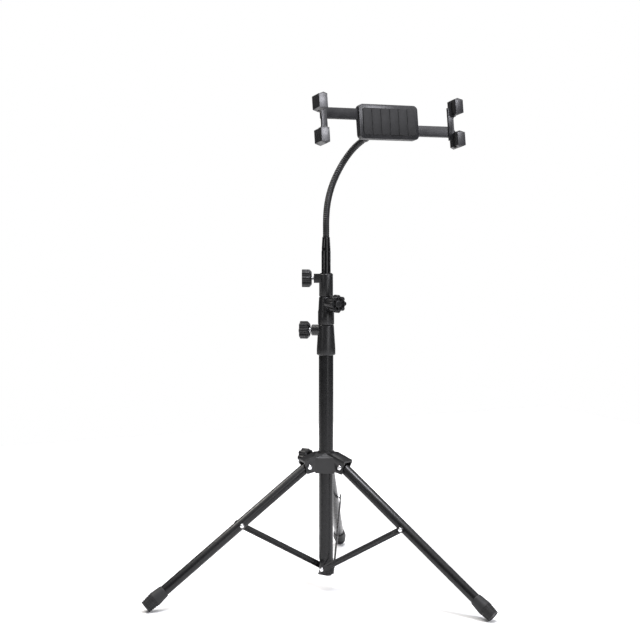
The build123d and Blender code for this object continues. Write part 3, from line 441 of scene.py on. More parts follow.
NECK_SKIN = Finish(
    "neck_black", (0.006, 0.006, 0.0065), 0.32, Grain.SPARK, grain_per_metre=2400.0, grain_depth=0.12
)
CLAW_SATIN = Finish(
    "claw_satin", (0.016, 0.016, 0.0175), 0.30, Grain.SPARK,
    reflection=0.5, grain_per_metre=2800.0, grain_depth=0.15,
)

SLOT_FINISH: dict[str, Finish] = {
    "powder_coat": POWDER_COAT,
    "gloss_coat": ENAMEL,
    "moulding": MOULDED,
    "knob_moulding": KNOB_BLACK,
    "bright_steel": ZINC,
    "rubber": FOOT_RUBBER,
    "neck_skin": NECK_SKIN,
    "holder_moulding": CLAW_SATIN,
}


def give_finish(thing: bpy.types.Object, slot: str) -> None:
    """Give a piece the finish of one of the record's material slots."""
    thing.data.materials.clear()
    thing.data.materials.append(SLOT_FINISH[slot].material())


def dress(thing: bpy.types.Object, slot: str, body: str, *nodes: str) -> None:
    """Give a piece its slot's finish and its body, and hide the nodes that it stands for.

    Args:
        thing: the finished piece.
        slot: the record's material slot.
        body: the body it moves with.
        nodes: the frame's nodes that it replaces.
    """
    give_finish(thing, slot)
    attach(thing, body)
    if nodes:
        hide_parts(*nodes)
    log.info("%s on %s", thing.name, body)


def stretch(
    thing: bpy.types.Object, slot: str, bodies: tuple[str, str], node: str
) -> None:
    """Give a piece its slot's finish, bake its place into its mesh, and hide the node that it stands in for.

    Args:
        thing: the finished piece.
        slot: the record's material slot.
        bodies: the body at its start and the one at its end, which are named in the log.
        node: the frame's node that it replaces.
    """
    give_finish(thing, slot)
    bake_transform(thing)
    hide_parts(node)
    log.info("%s between %s and %s", thing.name, *bodies)


def dress_frame() -> None:
    """Give every node of the frame the finish of its material slot."""
    slots = {part["node"]: part["material_slot"] for part in STAND["record"]["subparts"]}
    for name, thing in STAND["nodes"].items():
        finish = SLOT_FINISH[slots[name]]
        for place in thing.material_slots:
            place.material = finish.material()


# Knobs, screws and rivets


@dataclass(frozen=True)
class StarKnob:
    """A lobed hand knob, with a ribbed pocket and a round cap in its face."""

    lobes: int = 8
    tip_r: float = 13.5 * MM
    lobe_r: float = 3.3 * MM
    valley_r: float = 11.2 * MM
    thickness: float = 15.0 * MM
    back_r: float = 9.8 * MM
    back_depth: float = 3.6 * MM
    cap_r: float = 5.4 * MM
    pocket_r: float = 9.2 * MM
    pocket_depth: float = 3.2 * MM
    rib_width: float = 1.4 * MM
    rib_share: float = 0.25
    nut_pocket_r: float = 7.0 * MM
    nut_pocket_depth: float = 2.6 * MM
    soft: float = 0.5 * MM
    valley_ease: float = 0.35 * MM

    def _columns(self) -> tuple[Array, Array, Array]:
        """Where the columns stand: their lobe's angle, their place in its sector and their rib.

        Returns:
            The lobes' angles, places from -1 to 1 across each sector, and 1 for a column that is
            on a rib's top. The edge of a rib has two columns, one at its foot and one on top.
        """
        edge, flank, crown = self.rib_share, 14, 3
        left = np.concatenate([np.linspace(-1.0, -edge, flank), np.linspace(-edge, 0.0, crown + 1)[:-1]])
        place = np.concatenate([left, -left[::-1][:-1]])
        top = np.concatenate([np.zeros(flank), np.ones(crown)])
        top = np.concatenate([top, top[::-1][:-1]])
        place = np.insert(place, len(left), 0.0)
        top = np.insert(top, len(left), 1.0)
        lobe = np.repeat(np.arange(self.lobes) * 2 * np.pi / self.lobes, len(place))
        return lobe, np.tile(place, self.lobes), np.tile(top, self.lobes)

    def _turn(self, rib_half: Array, lobe: Array, place: Array) -> Array:
        """Angles of the columns: a rib takes the middle quarter of its sector's columns."""
        edge = self.rib_share
        outer = rib_half + (np.pi / self.lobes - rib_half) * (np.abs(place) - edge) / (1 - edge)
        inner = rib_half * np.abs(place) / edge
        return lobe + np.sign(place) * np.where(np.abs(place) <= edge, inner, outer)

    def _rim(self, turn: Array) -> Array:
        """The lobed outline: the larger of the valleys' circle and the nearest lobe's circle, eased."""
        nearest = np.mod(turn + np.pi / self.lobes, 2 * np.pi / self.lobes) - np.pi / self.lobes
        middle = self.tip_r - self.lobe_r
        inside = np.maximum(self.lobe_r**2 - (middle * np.sin(nearest)) ** 2, 0.0)
        lobe = middle * np.cos(nearest) + np.sqrt(inside)
        return self.valley_ease * np.logaddexp(lobe / self.valley_ease, self.valley_r / self.valley_ease)

    def skin(self, axis: Axis) -> Array:
        """The knob's closed surface, from the middle of its face round to the pocket behind it.

        Args:
            axis: the knob's axis, with its back at 0 and its face upwards.

        Returns:
            The grid of points.
        """
        top, soft = self.thickness, self.soft
        floor = top - self.pocket_depth
        rib_top = top - soft * 1.3
        back = self.back_depth
        rings = (
            (0.0, top),
            (self.cap_r * 0.5, top),
            (self.cap_r - soft, top - soft * 0.1),
            (self.cap_r - soft * 0.3, top - soft * 0.4),
            (self.cap_r, top - soft * 1.2),
            (self.cap_r, None),
            (self.cap_r * 1.02, None),
            (self.pocket_r * 0.98, None),
            (self.pocket_r, None),
            (self.pocket_r, top - soft),
            (self.pocket_r + soft * 0.4, top - soft * 0.2),
            (self.pocket_r + soft, top),
        )
        lobe, place, on_rib = self._columns()
        even = self.rib_share * np.pi / self.lobes
        radius, height, turn = [], [], []
        for r, z in rings:
            half = np.arcsin(self.rib_width / 2 / r) if r >= self.cap_r * 0.99 else even
            radius.append(np.full(len(lobe), r))
            height.append(np.where(on_rib > 0.5, rib_top, floor) if z is None else np.full(len(lobe), z))
            turn.append(self._turn(half, lobe, place))
        angle = self._turn(even, lobe, place)
        rim = self._rim(angle)
        edges = (
            (rim - 2.2 * soft, top),
            (rim - 1.1 * soft, top - 0.15 * soft),
            (rim - 0.35 * soft, top - 0.7 * soft),
            (rim, top - 1.8 * soft),
            (rim, (top + back) / 2),
            (rim, back),
        )
        cone = [(self.back_r + (self.tip_r - self.back_r) * s, back * s) for s in np.linspace(0.9, 0.1, 7)]
        edges += tuple((np.minimum(rim, r), z) for r, z in cone)
        inner = (
            (self.back_r - soft, 0.0),
            (self.nut_pocket_r + soft * 0.4, 0.0),
            (self.nut_pocket_r, soft * 0.4),
            (self.nut_pocket_r, self.nut_pocket_depth),
            (0.0, self.nut_pocket_depth),
        )
        outer_radius, outer_height = rows(len(rim), *edges, *inner)
        turn += [angle] * len(outer_radius)
        radius, height = np.concatenate([radius, outer_radius]), np.concatenate([height, outer_height])
        return axis.carried(radius, height, np.array(turn))


@dataclass(frozen=True)
class ClampStud:
    """A knob's threaded stud, with the hexagon that the knob is moulded around."""

    radius: float = 3.0 * MM
    thread_depth: float = 0.42 * MM
    pitch: float = 1.0 * MM
    hex_across: float = 9.0 * MM
    hex_height: float = 2.5 * MM
    rows_per_pitch: int = 10
    columns: int = 40

    def skins(self, axis: Axis, low: float, high: float) -> tuple[Array, Array]:
        """The thread, whose radius follows a wave that climbs a pitch a turn, and the hexagon.

        Args:
            axis: the knob's axis, with the knob's back at 0.
            low: where the stud starts.
            high: where it ends.

        Returns:
            Two closed grids of points.
        """
        steps = round((high - low) / self.pitch * self.rows_per_pitch)
        height = np.linspace(low, high, steps)[:, None]
        turn = full_turn(self.columns)[None]
        wave = 0.5 + 0.5 * np.cos(2 * np.pi * (height / self.pitch) - turn)
        radius = self.radius - self.thread_depth * wave**0.8
        ends = np.zeros((1, self.columns))
        radius = np.concatenate([ends, radius, ends])
        height = np.concatenate([height[:1], height, height[-1:]])
        thread = axis.carried(radius, height, turn)
        turn = full_turn(48)[None]
        flat = self.hex_across / 2 / np.cos(np.mod(turn, np.pi / 3) - np.pi / 6)
        rounded = np.minimum(flat, self.hex_across * 0.555)
        cap = np.minimum(flat, self.hex_across * 0.5)
        shares = np.array([0.0, 0.0, 0.12, 0.88, 1.0, 1.0])[:, None]
        radii = np.concatenate([cap * 0, cap, rounded, rounded, cap, cap * 0])
        return thread, axis.carried(radii, shares * self.hex_height, turn)


class Drive(Enum):
    """What is formed in the top of a screw's or rivet's head."""

    CROSS = "cross"
    DIMPLE = "dimple"
    PLAIN = "plain"


@dataclass(frozen=True)
class DomedHead:
    """The domed head of a screw or rivet on a plain shank."""

    radius: float
    height: float
    shank_r: float
    drive: Drive = Drive.DIMPLE
    rim_share: float = 0.22
    slot_half: float = 0.13
    slot_reach: float = 0.52
    slot_wall: float = 0.07
    slot_rise: float = 0.6
    dimple_reach: float = 0.34
    dimple_wall: float = 0.1
    hollow_share: float = 0.5

    def _hollow(self, share: Array, turn: Array) -> Array:
        """How deep the drive's hollow is, from 0 to 1: two slots with soft walls, or a round dimple.

        Args:
            share: distances from the head's middle, as shares of its radius.
            turn: angles round the head.

        Returns:
            The hollow's depth at each place.
        """
        x, y = np.abs(share * np.cos(turn)), np.abs(share * np.sin(turn))
        if self.drive is Drive.CROSS:
            slots = [
                smooth_step((self.slot_half - beside) / self.slot_wall + 0.5)
                * smooth_step((self.slot_reach - along) / self.slot_wall)
                for along, beside in ((x, y), (y, x))
            ]
            return np.maximum(*slots) * (1 - self.slot_rise * share)
        if self.drive is Drive.DIMPLE:
            return smooth_step((self.dimple_reach - share) / self.dimple_wall) * np.ones_like(turn)
        return np.zeros_like(x)

    def skin(self, axis: Axis, shank: float) -> Array:
        """The head's and shank's closed surface.

        The dome stands on a low rim, and its height falls as the square root of one less the
        2.6th power of the distance from its middle, so that it is steepest at the rim.

        Args:
            axis: the screw's axis, with the seat under the head at 0 and the head upwards.
            shank: how far the shank reaches below the seat.

        Returns:
            The grid of points.
        """
        turn = full_turn(64)[None]
        share = np.concatenate([np.linspace(0.0, 0.62, 22), np.linspace(0.66, 1.0, 14)])[:, None]
        fall = np.sqrt(np.maximum(1 - share**2.6, 0.0))
        dome = self.height * (self.rim_share + (1 - self.rim_share) * fall)
        height = dome - self._hollow(share, turn) * self.height * self.hollow_share
        radius = share * self.radius * np.ones_like(turn)
        corners = ((self.radius, 0.0), (self.shank_r, 0.0), (self.shank_r, -shank), (0.0, -shank))
        shank_radius, shank_height = rows(turn.size, *corners)
        radius = np.concatenate([radius, shank_radius])
        return axis.carried(radius, np.concatenate([height, shank_height]), turn)


@dataclass
class Knobs:
    """The four clamp knobs with their studs."""

    names: tuple[str, ...] = ("hub", "lower", "middle", "upper")
    knob: StarKnob = field(default_factory=StarKnob)
    stud: ClampStud = field(default_factory=ClampStud)

    def build(self) -> None:
        """Make each knob and its stud on the knob's own axis."""
        for name in self.names:
            body = f"{name}_knob"
            line = joint_axis(f"{name}_knob_turn")
            back = line.span(body)[0]
            seat = line.shift(back)
            low, high = line.span(f"{name}_knob_stud")
            dress(grid_mesh(f"{name}_star_knob", self.knob.skin(seat)), "knob_moulding", body, body)
            stud = grid_mesh(f"{name}_threaded_stud", *self.stud.skins(seat, low - back, high - back))
            dress(stud, "bright_steel", body, f"{name}_knob_stud")


@dataclass
class Fasteners:
    """The pivot screws and nuts of the hub's arms, and the rivets of the foot and the stays."""

    pin_r: float = 2.0 * MM
    stay_pin_r: float = 1.9 * MM
    screw_r: float = 3.8 * MM
    screw_height: float = 2.6 * MM
    rivet_r: float = 3.3 * MM
    rivet_height: float = 1.6 * MM
    nut_shank: float = 0.2 * MM
    near_head: float = 1.1

    def _fit(
        self, name: str, axis: Axis, node: str, body: str, head: DomedHead, shank: float | None = None
    ) -> None:
        """Make one fastener where the frame's own stands on an axis, its head at the upper end.

        One node can hold three fasteners, so only its points near the head's axis count.

        Args:
            name: the piece's name.
            axis: the fastener's axis, with its head upwards.
            node: the frame's node that it stands for.
            body: the body it moves with.
            head: its head.
            shank: how long its shank is, or None for the frame's own length.
        """
        low, high = axis.span(node, head.radius * self.near_head)
        seat = high - head.height
        reach = seat - low if shank is None else shank
        dress(grid_mesh(name, head.skin(axis.shift(seat), reach)), "bright_steel", body, node)

    def build(self) -> None:
        """Make every fastener of the three sides."""
        screw = DomedHead(self.screw_r, self.screw_height, self.pin_r, Drive.CROSS)
        nut = DomedHead(self.screw_r, self.screw_height, self.pin_r, Drive.PLAIN)
        rivet = DomedHead(self.rivet_r, self.rivet_height, self.pin_r)
        stay_rivet = DomedHead(self.rivet_r, self.rivet_height, self.stay_pin_r)
        for side in LEG_SIDES:
            fold = joint_axis(f"{side}_leg_fold")
            out = fold.shift(0.0, flip=True)
            own = f"{side}_stay_rivet"
            self._fit(f"{side}_pivot_screw", out, "leg_screws", "hub", screw)
            self._fit(f"{side}_domed_nut", fold, "leg_nuts", "hub", nut, self.nut_shank)
            self._fit(f"{side}_foot_rivet", joint_axis(f"{side}_stay_fold"), "foot_rivets", "column", rivet)
            self._fit(f"{side}_stay_head", out.through(own), own, f"{side}_stay", stay_rivet)


@dataclass
class Feet:
    """The rubber feet: a lip round the tube, a full belly and a blocked grip."""

    tube_r: float = 8.0 * MM
    tube_play: float = 0.1 * MM
    mouth_r: float = 9.15 * MM
    lip: float = 0.9 * MM
    lip_round: float = 0.45 * MM
    belly_r: float = 11.0 * MM
    belly_ease: float = 0.12 * MM
    end_r: float = 9.15 * MM
    end_round: float = 0.25 * MM
    length: float = 35.5 * MM
    belly_share: float = 0.52
    socket_share: float = 0.72
    blocks_round: int = 16
    blocks_along: int = 4
    block_depth: float = 0.7 * MM
    below_belly: float = 1.2 * MM
    above_end: float = 2.2 * MM
    ring_half: float = 0.13
    flute_half: float = 0.11
    ring_wall: float = 0.12
    flute_wall: float = 0.1
    rim: float = 1.5 * MM
    rim_slope: float = 0.2 * MM
    rim_depth: float = 0.8 * MM
    columns: int = 240

    def _grooves(self, along: Array, turn: Array, knee: float) -> Array:
        """How deep the grip is grooved, from 0 to 1: rings and flutes that leave rows of blocks.

        Args:
            along: distances from the foot's mouth, rows x 1.
            turn: angles round the foot, 1 x columns.
            knee: where the belly is.

        Returns:
            The depth at each place, nothing outside the grip.
        """
        start, stop = knee + self.below_belly, self.length - self.above_end
        share = (along - start) / (stop - start) * self.blocks_along
        before = smooth_step(share / self.ring_wall + 0.5)
        after = smooth_step((self.blocks_along - share) / self.ring_wall + 0.5)
        across = np.abs(np.mod(share + 0.5, 1.0) - 0.5)
        beside = np.abs(np.mod(turn / (2 * np.pi) * self.blocks_round + 0.5, 1.0) - 0.5)
        ring = 1 - smooth_step((across - self.ring_half) / self.ring_wall)
        flute = 1 - smooth_step((beside - self.flute_half) / self.flute_wall)
        return np.maximum(ring, flute) * (before * after)

    def skin(self, axis: Axis) -> Array:
        """The foot's closed surface.

        Two cones meet at the belly with an eased knee. Past the belly, grooves round and along
        the foot leave rows of small blocks. The end is a rim round a shallow hollow.

        Args:
            axis: the leg's line, with the foot's mouth at 0.

        Returns:
            The grid of points.
        """
        length, knee, ease = self.length, self.length * self.belly_share, self.belly_ease
        along = np.concatenate([np.linspace(0.0, knee, 40)[:-1], np.linspace(knee, length, 110)])
        rising = self.mouth_r + (self.belly_r - self.mouth_r) * along / knee
        falling = self.belly_r - (self.belly_r - self.end_r) * (along - knee) / (length - knee)
        shape = -ease * np.logaddexp(-rising / ease, -falling / ease)
        shape = shape - self.lip_round * (1 - smooth_step(along / self.lip))
        along, turn = along[:, None], full_turn(self.columns)[None]
        radius = shape[:, None] - self.block_depth * self._grooves(along, turn, knee)
        radius[-1] -= self.end_round * 0.2
        bore, depth = self.tube_r - self.tube_play, length * self.socket_share
        mouth, mouth_height = rows(
            self.columns, (0.0, depth), (bore, depth), (bore, self.tube_play), (self.mouth_r - self.lip, 0.0)
        )
        inner, floor = self.end_r - self.rim, length - self.rim_depth
        end, end_height = rows(
            self.columns,
            (self.end_r - self.end_round, length),
            (inner + self.rim_slope, length),
            (inner, length - self.rim_depth * 0.25),
            (inner - self.rim_slope, floor),
            (0.0, floor),
        )
        height = np.concatenate([mouth_height, along * np.ones_like(turn), end_height])
        return axis.carried(np.concatenate([mouth, radius, end]), height, turn)

    def build(self) -> None:
        """Make each foot on its leg's end."""
        for leg in LEGS:
            line = leg.axis()
            end = line.span(f"{leg.side}_leg_foot")[1]
            foot = grid_mesh(f"{leg.side}_rubber_foot", self.skin(line.shift(end - self.length)))
            dress(foot, "rubber", f"{leg.side}_leg", f"{leg.side}_leg_foot")


# Tubes and turned fittings


@dataclass(frozen=True)
class Pipe:
    """A round tube with eased ends."""

    outer_r: float
    bore_r: float
    soft: float = 0.25 * MM
    columns: int = 128

    def skin(self, axis: Axis, low: float, high: float) -> Array:
        """The tube's closed surface: its wall's outline turned about the axis.

        Args:
            axis: the tube's middle line.
            low: where it starts along the line.
            high: where it ends.

        Returns:
            The grid of points.
        """
        middle = (low + high) / 2
        corners = [
            (self.outer_r, middle),
            (self.outer_r, high),
            (self.bore_r, high),
            (self.bore_r, low),
            (self.outer_r, low),
            (self.outer_r, middle),
        ]
        return axis.turned(eased(np.array(corners), self.soft), self.columns)


@dataclass
class Column:
    """The tubes of the column and the legs, the outer one pressed to a rounded triangle below."""

    foot_flat_r: float = 9.3 * MM
    foot_corner_r: float = 6.1 * MM
    foot_top: float = 42.0 * MM
    round_z: float = 51.0 * MM
    low: float = 25.0 * MM
    high: float = 388.0 * MM
    outer_r: float = 11.0 * MM
    wall: float = 1.2 * MM
    flat_turn: float = 148.9

    def _triangle(self, turn: Array, inset: float) -> Array:
        """The pressed foot's outline: flats joined by round corners.

        A ray from the middle meets a flat at the flat's distance over the cosine of its angle,
        and past the flat's end it meets the corner's circle.

        Args:
            turn: angles round the column.
            inset: how far the outline is drawn in.

        Returns:
            The outline's distance from the middle at each angle.
        """
        flat, corner = self.foot_flat_r - inset, self.foot_corner_r - inset
        side = np.mod(turn - math.radians(self.flat_turn) + np.pi / 3, 2 * np.pi / 3) - np.pi / 3
        middle = (flat - corner) * 2
        past = np.pi / 3 - np.abs(side)
        reach = np.sqrt(np.maximum(corner**2 - (middle * np.sin(past)) ** 2, 0.0))
        on_flat = np.abs(np.tan(side)) * flat <= (flat - corner) * math.tan(np.pi / 3)
        return np.where(on_flat, flat / np.cos(side), middle * np.cos(past) + reach)

    def outer_tube(self) -> bpy.types.Object:
        """The outer tube: the triangle turns to a circle over its taper's height."""
        turn = full_turn(180)[None]
        taper = np.linspace(self.foot_top, self.round_z, 16)
        height = np.concatenate([[self.low], taper, [self.high]])[:, None]
        share = smooth_step((height - self.foot_top) / (self.round_z - self.foot_top))
        outer = self._triangle(turn, 0.0) * (1 - share) + self.outer_r * share
        inner = self._triangle(turn, self.wall) * (1 - share) + (self.outer_r - self.wall) * share
        radius = np.concatenate([outer, inner[::-1], outer[:1]])
        height = np.concatenate([height, height[::-1], height[:1]])
        basis = UPRIGHT.basis()
        offset = math.atan2(basis[0][1], basis[0][0])
        return grid_mesh("outer_tube", UPRIGHT.carried(radius, height, turn - offset))

    def build(self) -> None:
        """Make the outer tube, then each inner tube and leg where the frame's own stands."""
        dress(self.outer_tube(), "powder_coat", "column", "lower_tube")
        tubes = (
            ("mid_tube", Pipe(9.5 * MM, 8.5 * MM), "powder_coat", "middle_section"),
            ("upper_tube", Pipe(8.0 * MM, 7.2 * MM), "powder_coat", "upper_section"),
            ("neck_tube", Pipe(7.0 * MM, 6.1 * MM), "gloss_coat", "neck_tube"),
        )
        for node, pipe, slot, body in tubes:
            low, high = UPRIGHT.span(node)
            dress(grid_mesh(f"{node}_fine", pipe.skin(UPRIGHT, low, high)), slot, body, node)
        pipe = Pipe(8.0 * MM, 7.0 * MM)
        for leg in LEGS:
            line = leg.axis()
            low, high = line.span(f"{leg.side}_leg_tube")
            shaft = grid_mesh(f"{leg.side}_leg_shaft", pipe.skin(line, low, high))
            dress(shaft, "powder_coat", f"{leg.side}_leg", f"{leg.side}_leg_tube")


@dataclass
class NeckFittings:
    """The ferrules, the ball and its grooved nut."""

    waist_r: float = 6.1 * MM
    step_r: float = 6.65 * MM
    step_height: float = 4.2 * MM
    cone_r: float = 5.7 * MM
    cone_length: float = 21.1 * MM
    ferrule_bore_r: float = 4.42 * MM
    seam_r: float = 4.5 * MM
    end_r: float = 5.2 * MM
    body_r: float = 6.2 * MM
    soft: float = 0.35 * MM
    nut_r: float = 14.2 * MM
    nut_grooves: int = 16
    nut_groove: float = 0.95 * MM
    nut_groove_half: float = 0.3
    nut_bore_r: float = 11.35 * MM
    ball_r: float = 9.0 * MM
    ball_share: float = 0.82

    def lower_ferrule(self, axis: Axis) -> Array:
        """The tapered end fitting: a straight waist, a step and a long cone."""
        low, high = axis.span("lower_ferrule")
        seat = high - self.cone_length
        outline = [
            (self.seam_r, low),
            (self.waist_r, low),
            (self.waist_r, seat),
            (self.step_r, seat),
            (self.step_r, seat + self.step_height),
            (self.cone_r, high),
            (self.ferrule_bore_r, high),
            (self.ferrule_bore_r, low),
            (self.seam_r, low),
        ]
        return axis.turned(eased(np.array(outline), self.soft))

    def upper_ferrule(self, axis: Axis) -> Array:
        """The fitting at the neck's upper end, with chamfered steps."""
        low, high = axis.span("upper_ferrule")
        outline = [
            (0.0, low),
            (self.end_r, low),
            (self.body_r, low + 2 * MM),
            (self.body_r, high - 1 * MM),
            (self.end_r, high),
            (0.0, high),
        ]
        return axis.turned(eased(np.array(outline), self.soft))

    def nut(self, axis: Axis) -> Array:
        """The socket's nut: its grip's radius dips in a row of round flutes.

        Args:
            axis: the holder's spin axis.

        Returns:
            The closed grid of points.
        """
        low, high = axis.span("ring_nut")
        turn = full_turn(self.nut_grooves * 12)
        beside = np.abs(np.mod(turn / (2 * np.pi) * self.nut_grooves + 0.5, 1.0) - 0.5)
        flute = self.nut_groove * np.sqrt(np.maximum(1 - (beside / self.nut_groove_half) ** 2, 0.0))
        grip, bore = self.nut_r - flute, self.nut_bore_r
        radius, height = rows(
            len(turn),
            (bore, high),
            (grip - 0.5 * MM, high),
            (grip - 0.12 * MM, high - 0.15 * MM),
            (grip, high - 0.5 * MM),
            (grip, low + 1.4 * MM),
            (grip - 0.3 * MM, low + 0.7 * MM),
            (grip - 1.0 * MM, low),
            (bore - 1.9 * MM, low),
            (bore, low + 3.8 * MM),
            (bore, high),
        )
        return axis.carried(radius, height, turn[None])

    def ball(self, axis: Axis) -> Array:
        """The ball: an arc turned about the axis, closed by a flat where the stud leaves it."""
        angle = np.linspace(0.0, np.pi * self.ball_share, 60)
        arc = np.stack([self.ball_r * np.sin(angle), self.ball_r * np.cos(angle)], axis=1)
        return axis.turned(np.concatenate([arc, [[0.0, arc[-1, 1]]]]))

    def build(self) -> None:
        """Make each fitting on its own axis."""
        run, spin = joint_axis("ball_turn"), joint_axis("holder_spin")
        lower = grid_mesh("tapered_ferrule", self.lower_ferrule(UPRIGHT))
        dress(lower, "gloss_coat", "neck_tube", "lower_ferrule")
        upper = grid_mesh("end_ferrule", self.upper_ferrule(run))
        dress(upper, "gloss_coat", "neck_head", "upper_ferrule")
        dress(grid_mesh("fluted_nut", self.nut(spin)), "knob_moulding", "ring_nut", "ring_nut")
        dress(grid_mesh("moulded_ball", self.ball(run)), "holder_moulding", "ball", "ball")


@dataclass(frozen=True)
class Moulding:
    """A node of the frame that is dressed as a finer copy with rounded edges."""

    node: str
    name: str
    width: float
    slot: str
    body: str

    def build(self) -> None:
        """Make the copy and dress it."""
        dress(softened(self.name, self.node, self.width), self.slot, self.body, self.node)


def each_side(
    sides: tuple[str, ...], node: str, name: str, width: float, slot: str, body: str
) -> list[Moulding]:
    """One moulding for each side, whose node, name and body start with the side.

    Args:
        sides: the sides, in order.
        node: the node's name after the side.
        name: the piece's name after the side.
        width: how wide the edges are rounded.
        slot: the record's material slot.
        body: the body's name after the side.

    Returns:
        The mouldings, in the sides' order.
    """
    return [Moulding(f"{side}_{node}", f"{side}_{name}", width, slot, f"{side}_{body}") for side in sides]


MOULDINGS = (
    Moulding("hub", "hub_spider", 0.5 * MM, "moulding", "hub"),
    Moulding("lower_collar", "outer_tube_collar", 0.4 * MM, "moulding", "column"),
    Moulding("middle_collar", "middle_tube_collar", 0.4 * MM, "moulding", "middle_section"),
    Moulding("upper_collar", "upper_tube_collar", 0.4 * MM, "moulding", "upper_section"),
    Moulding("clamp_sleeve", "neck_sleeve_flange", 0.0, "moulding", "neck_sleeve"),
    Moulding("column_end_plug", "column_foot_cap", 0.3 * MM, "moulding", "column"),
    *each_side(LEG_SIDES, "stay", "pressed_stay", 0.25 * MM, "powder_coat", "stay"),
    Moulding("ball_socket", "split_socket", 0.2 * MM, "holder_moulding", "socket"),
    Moulding("swivel_ring", "case_swivel_ring", 0.3 * MM, "holder_moulding", "holder"),
    Moulding("back_cover", "case_back", 0.4 * MM, "holder_moulding", "holder"),
    Moulding("front_cover", "case_front", 0.4 * MM, "holder_moulding", "holder"),
    Moulding("front_pad", "tablet_pad", 0.3 * MM, "rubber", "holder"),
    *each_side(ARM_SIDES, "arm", "claw_arm", 0.5 * MM, "holder_moulding", "arm"),
    *each_side(ARM_SIDES, "claw_pads", "claw_linings", 0.3 * MM, "rubber", "arm"),
    *each_side(LEG_SIDES, "leg_rivet", "shoulder_rivet", 0.2 * MM, "bright_steel", "leg"),
    *each_side(LEG_SIDES, "leg_plug", "leg_end_plug", 0.3 * MM, "moulding", "leg"),
    Moulding("cover_screws", "case_screws", 0.1 * MM, "bright_steel", "holder"),
    Moulding("ball_stud", "ball_lock_stud", 0.15 * MM, "bright_steel", "neck_head"),
    Moulding("mid_tube_bush", "mid_guide_bush", 0.2 * MM, "moulding", "middle_section"),
    Moulding("upper_tube_bush", "upper_guide_bush", 0.2 * MM, "moulding", "upper_section"),
)


@dataclass(frozen=True)
class ArmSpring:
    """The tension spring between the case and an arm, wound as a coil with drawn-in ends."""

    node: str
    arm: str
    anchored_high: bool
    coil_r: float = 1.2 * MM
    wire_r: float = 0.3 * MM
    pitch: float = 0.85 * MM

    def skin(self, axis: Axis, low: float, high: float) -> Array:
        """A ring carried round a helix, whose radius shrinks over the first and last turn.

        Args:
            axis: the spring's middle line.
            low: where the spring starts along it.
            high: where it ends.

        Returns:
            The closed grid of points.
        """
        turns = (high - low - 2 * self.wire_r) / self.pitch
        place = np.linspace(0.0, turns, round(turns * 14))[:, None]
        drawn = smooth_step(np.minimum(place, turns - place))
        around = full_turn(6)[None]
        radius = self.coil_r * (0.25 + 0.75 * drawn) + self.wire_r * np.cos(around)
        height = low + self.wire_r + place * self.pitch + self.wire_r * np.sin(around)
        return capped(axis.carried(radius, height, 2 * np.pi * place))

    def build(self) -> None:
        """Make the spring between the case and its arm, in its node's place."""
        line = Axis((0.0, 0.0, 0.0), (1.0, 0.0, 0.0)).through(self.node)
        low, high = line.span(self.node)
        coil = grid_mesh(f"{self.node}_coil", self.skin(line, low, high), sharp=80.0)
        ends = [tuple(line.shift(place).origin) for place in (low, high)]
        if self.anchored_high:
            ends.reverse()
        stretch(coil, "bright_steel", ("holder", self.arm), self.node)


SPRINGS = (
    ArmSpring("left_arm_spring", "left_arm", anchored_high=True),
    ArmSpring("right_arm_spring", "right_arm", anchored_high=False),
)


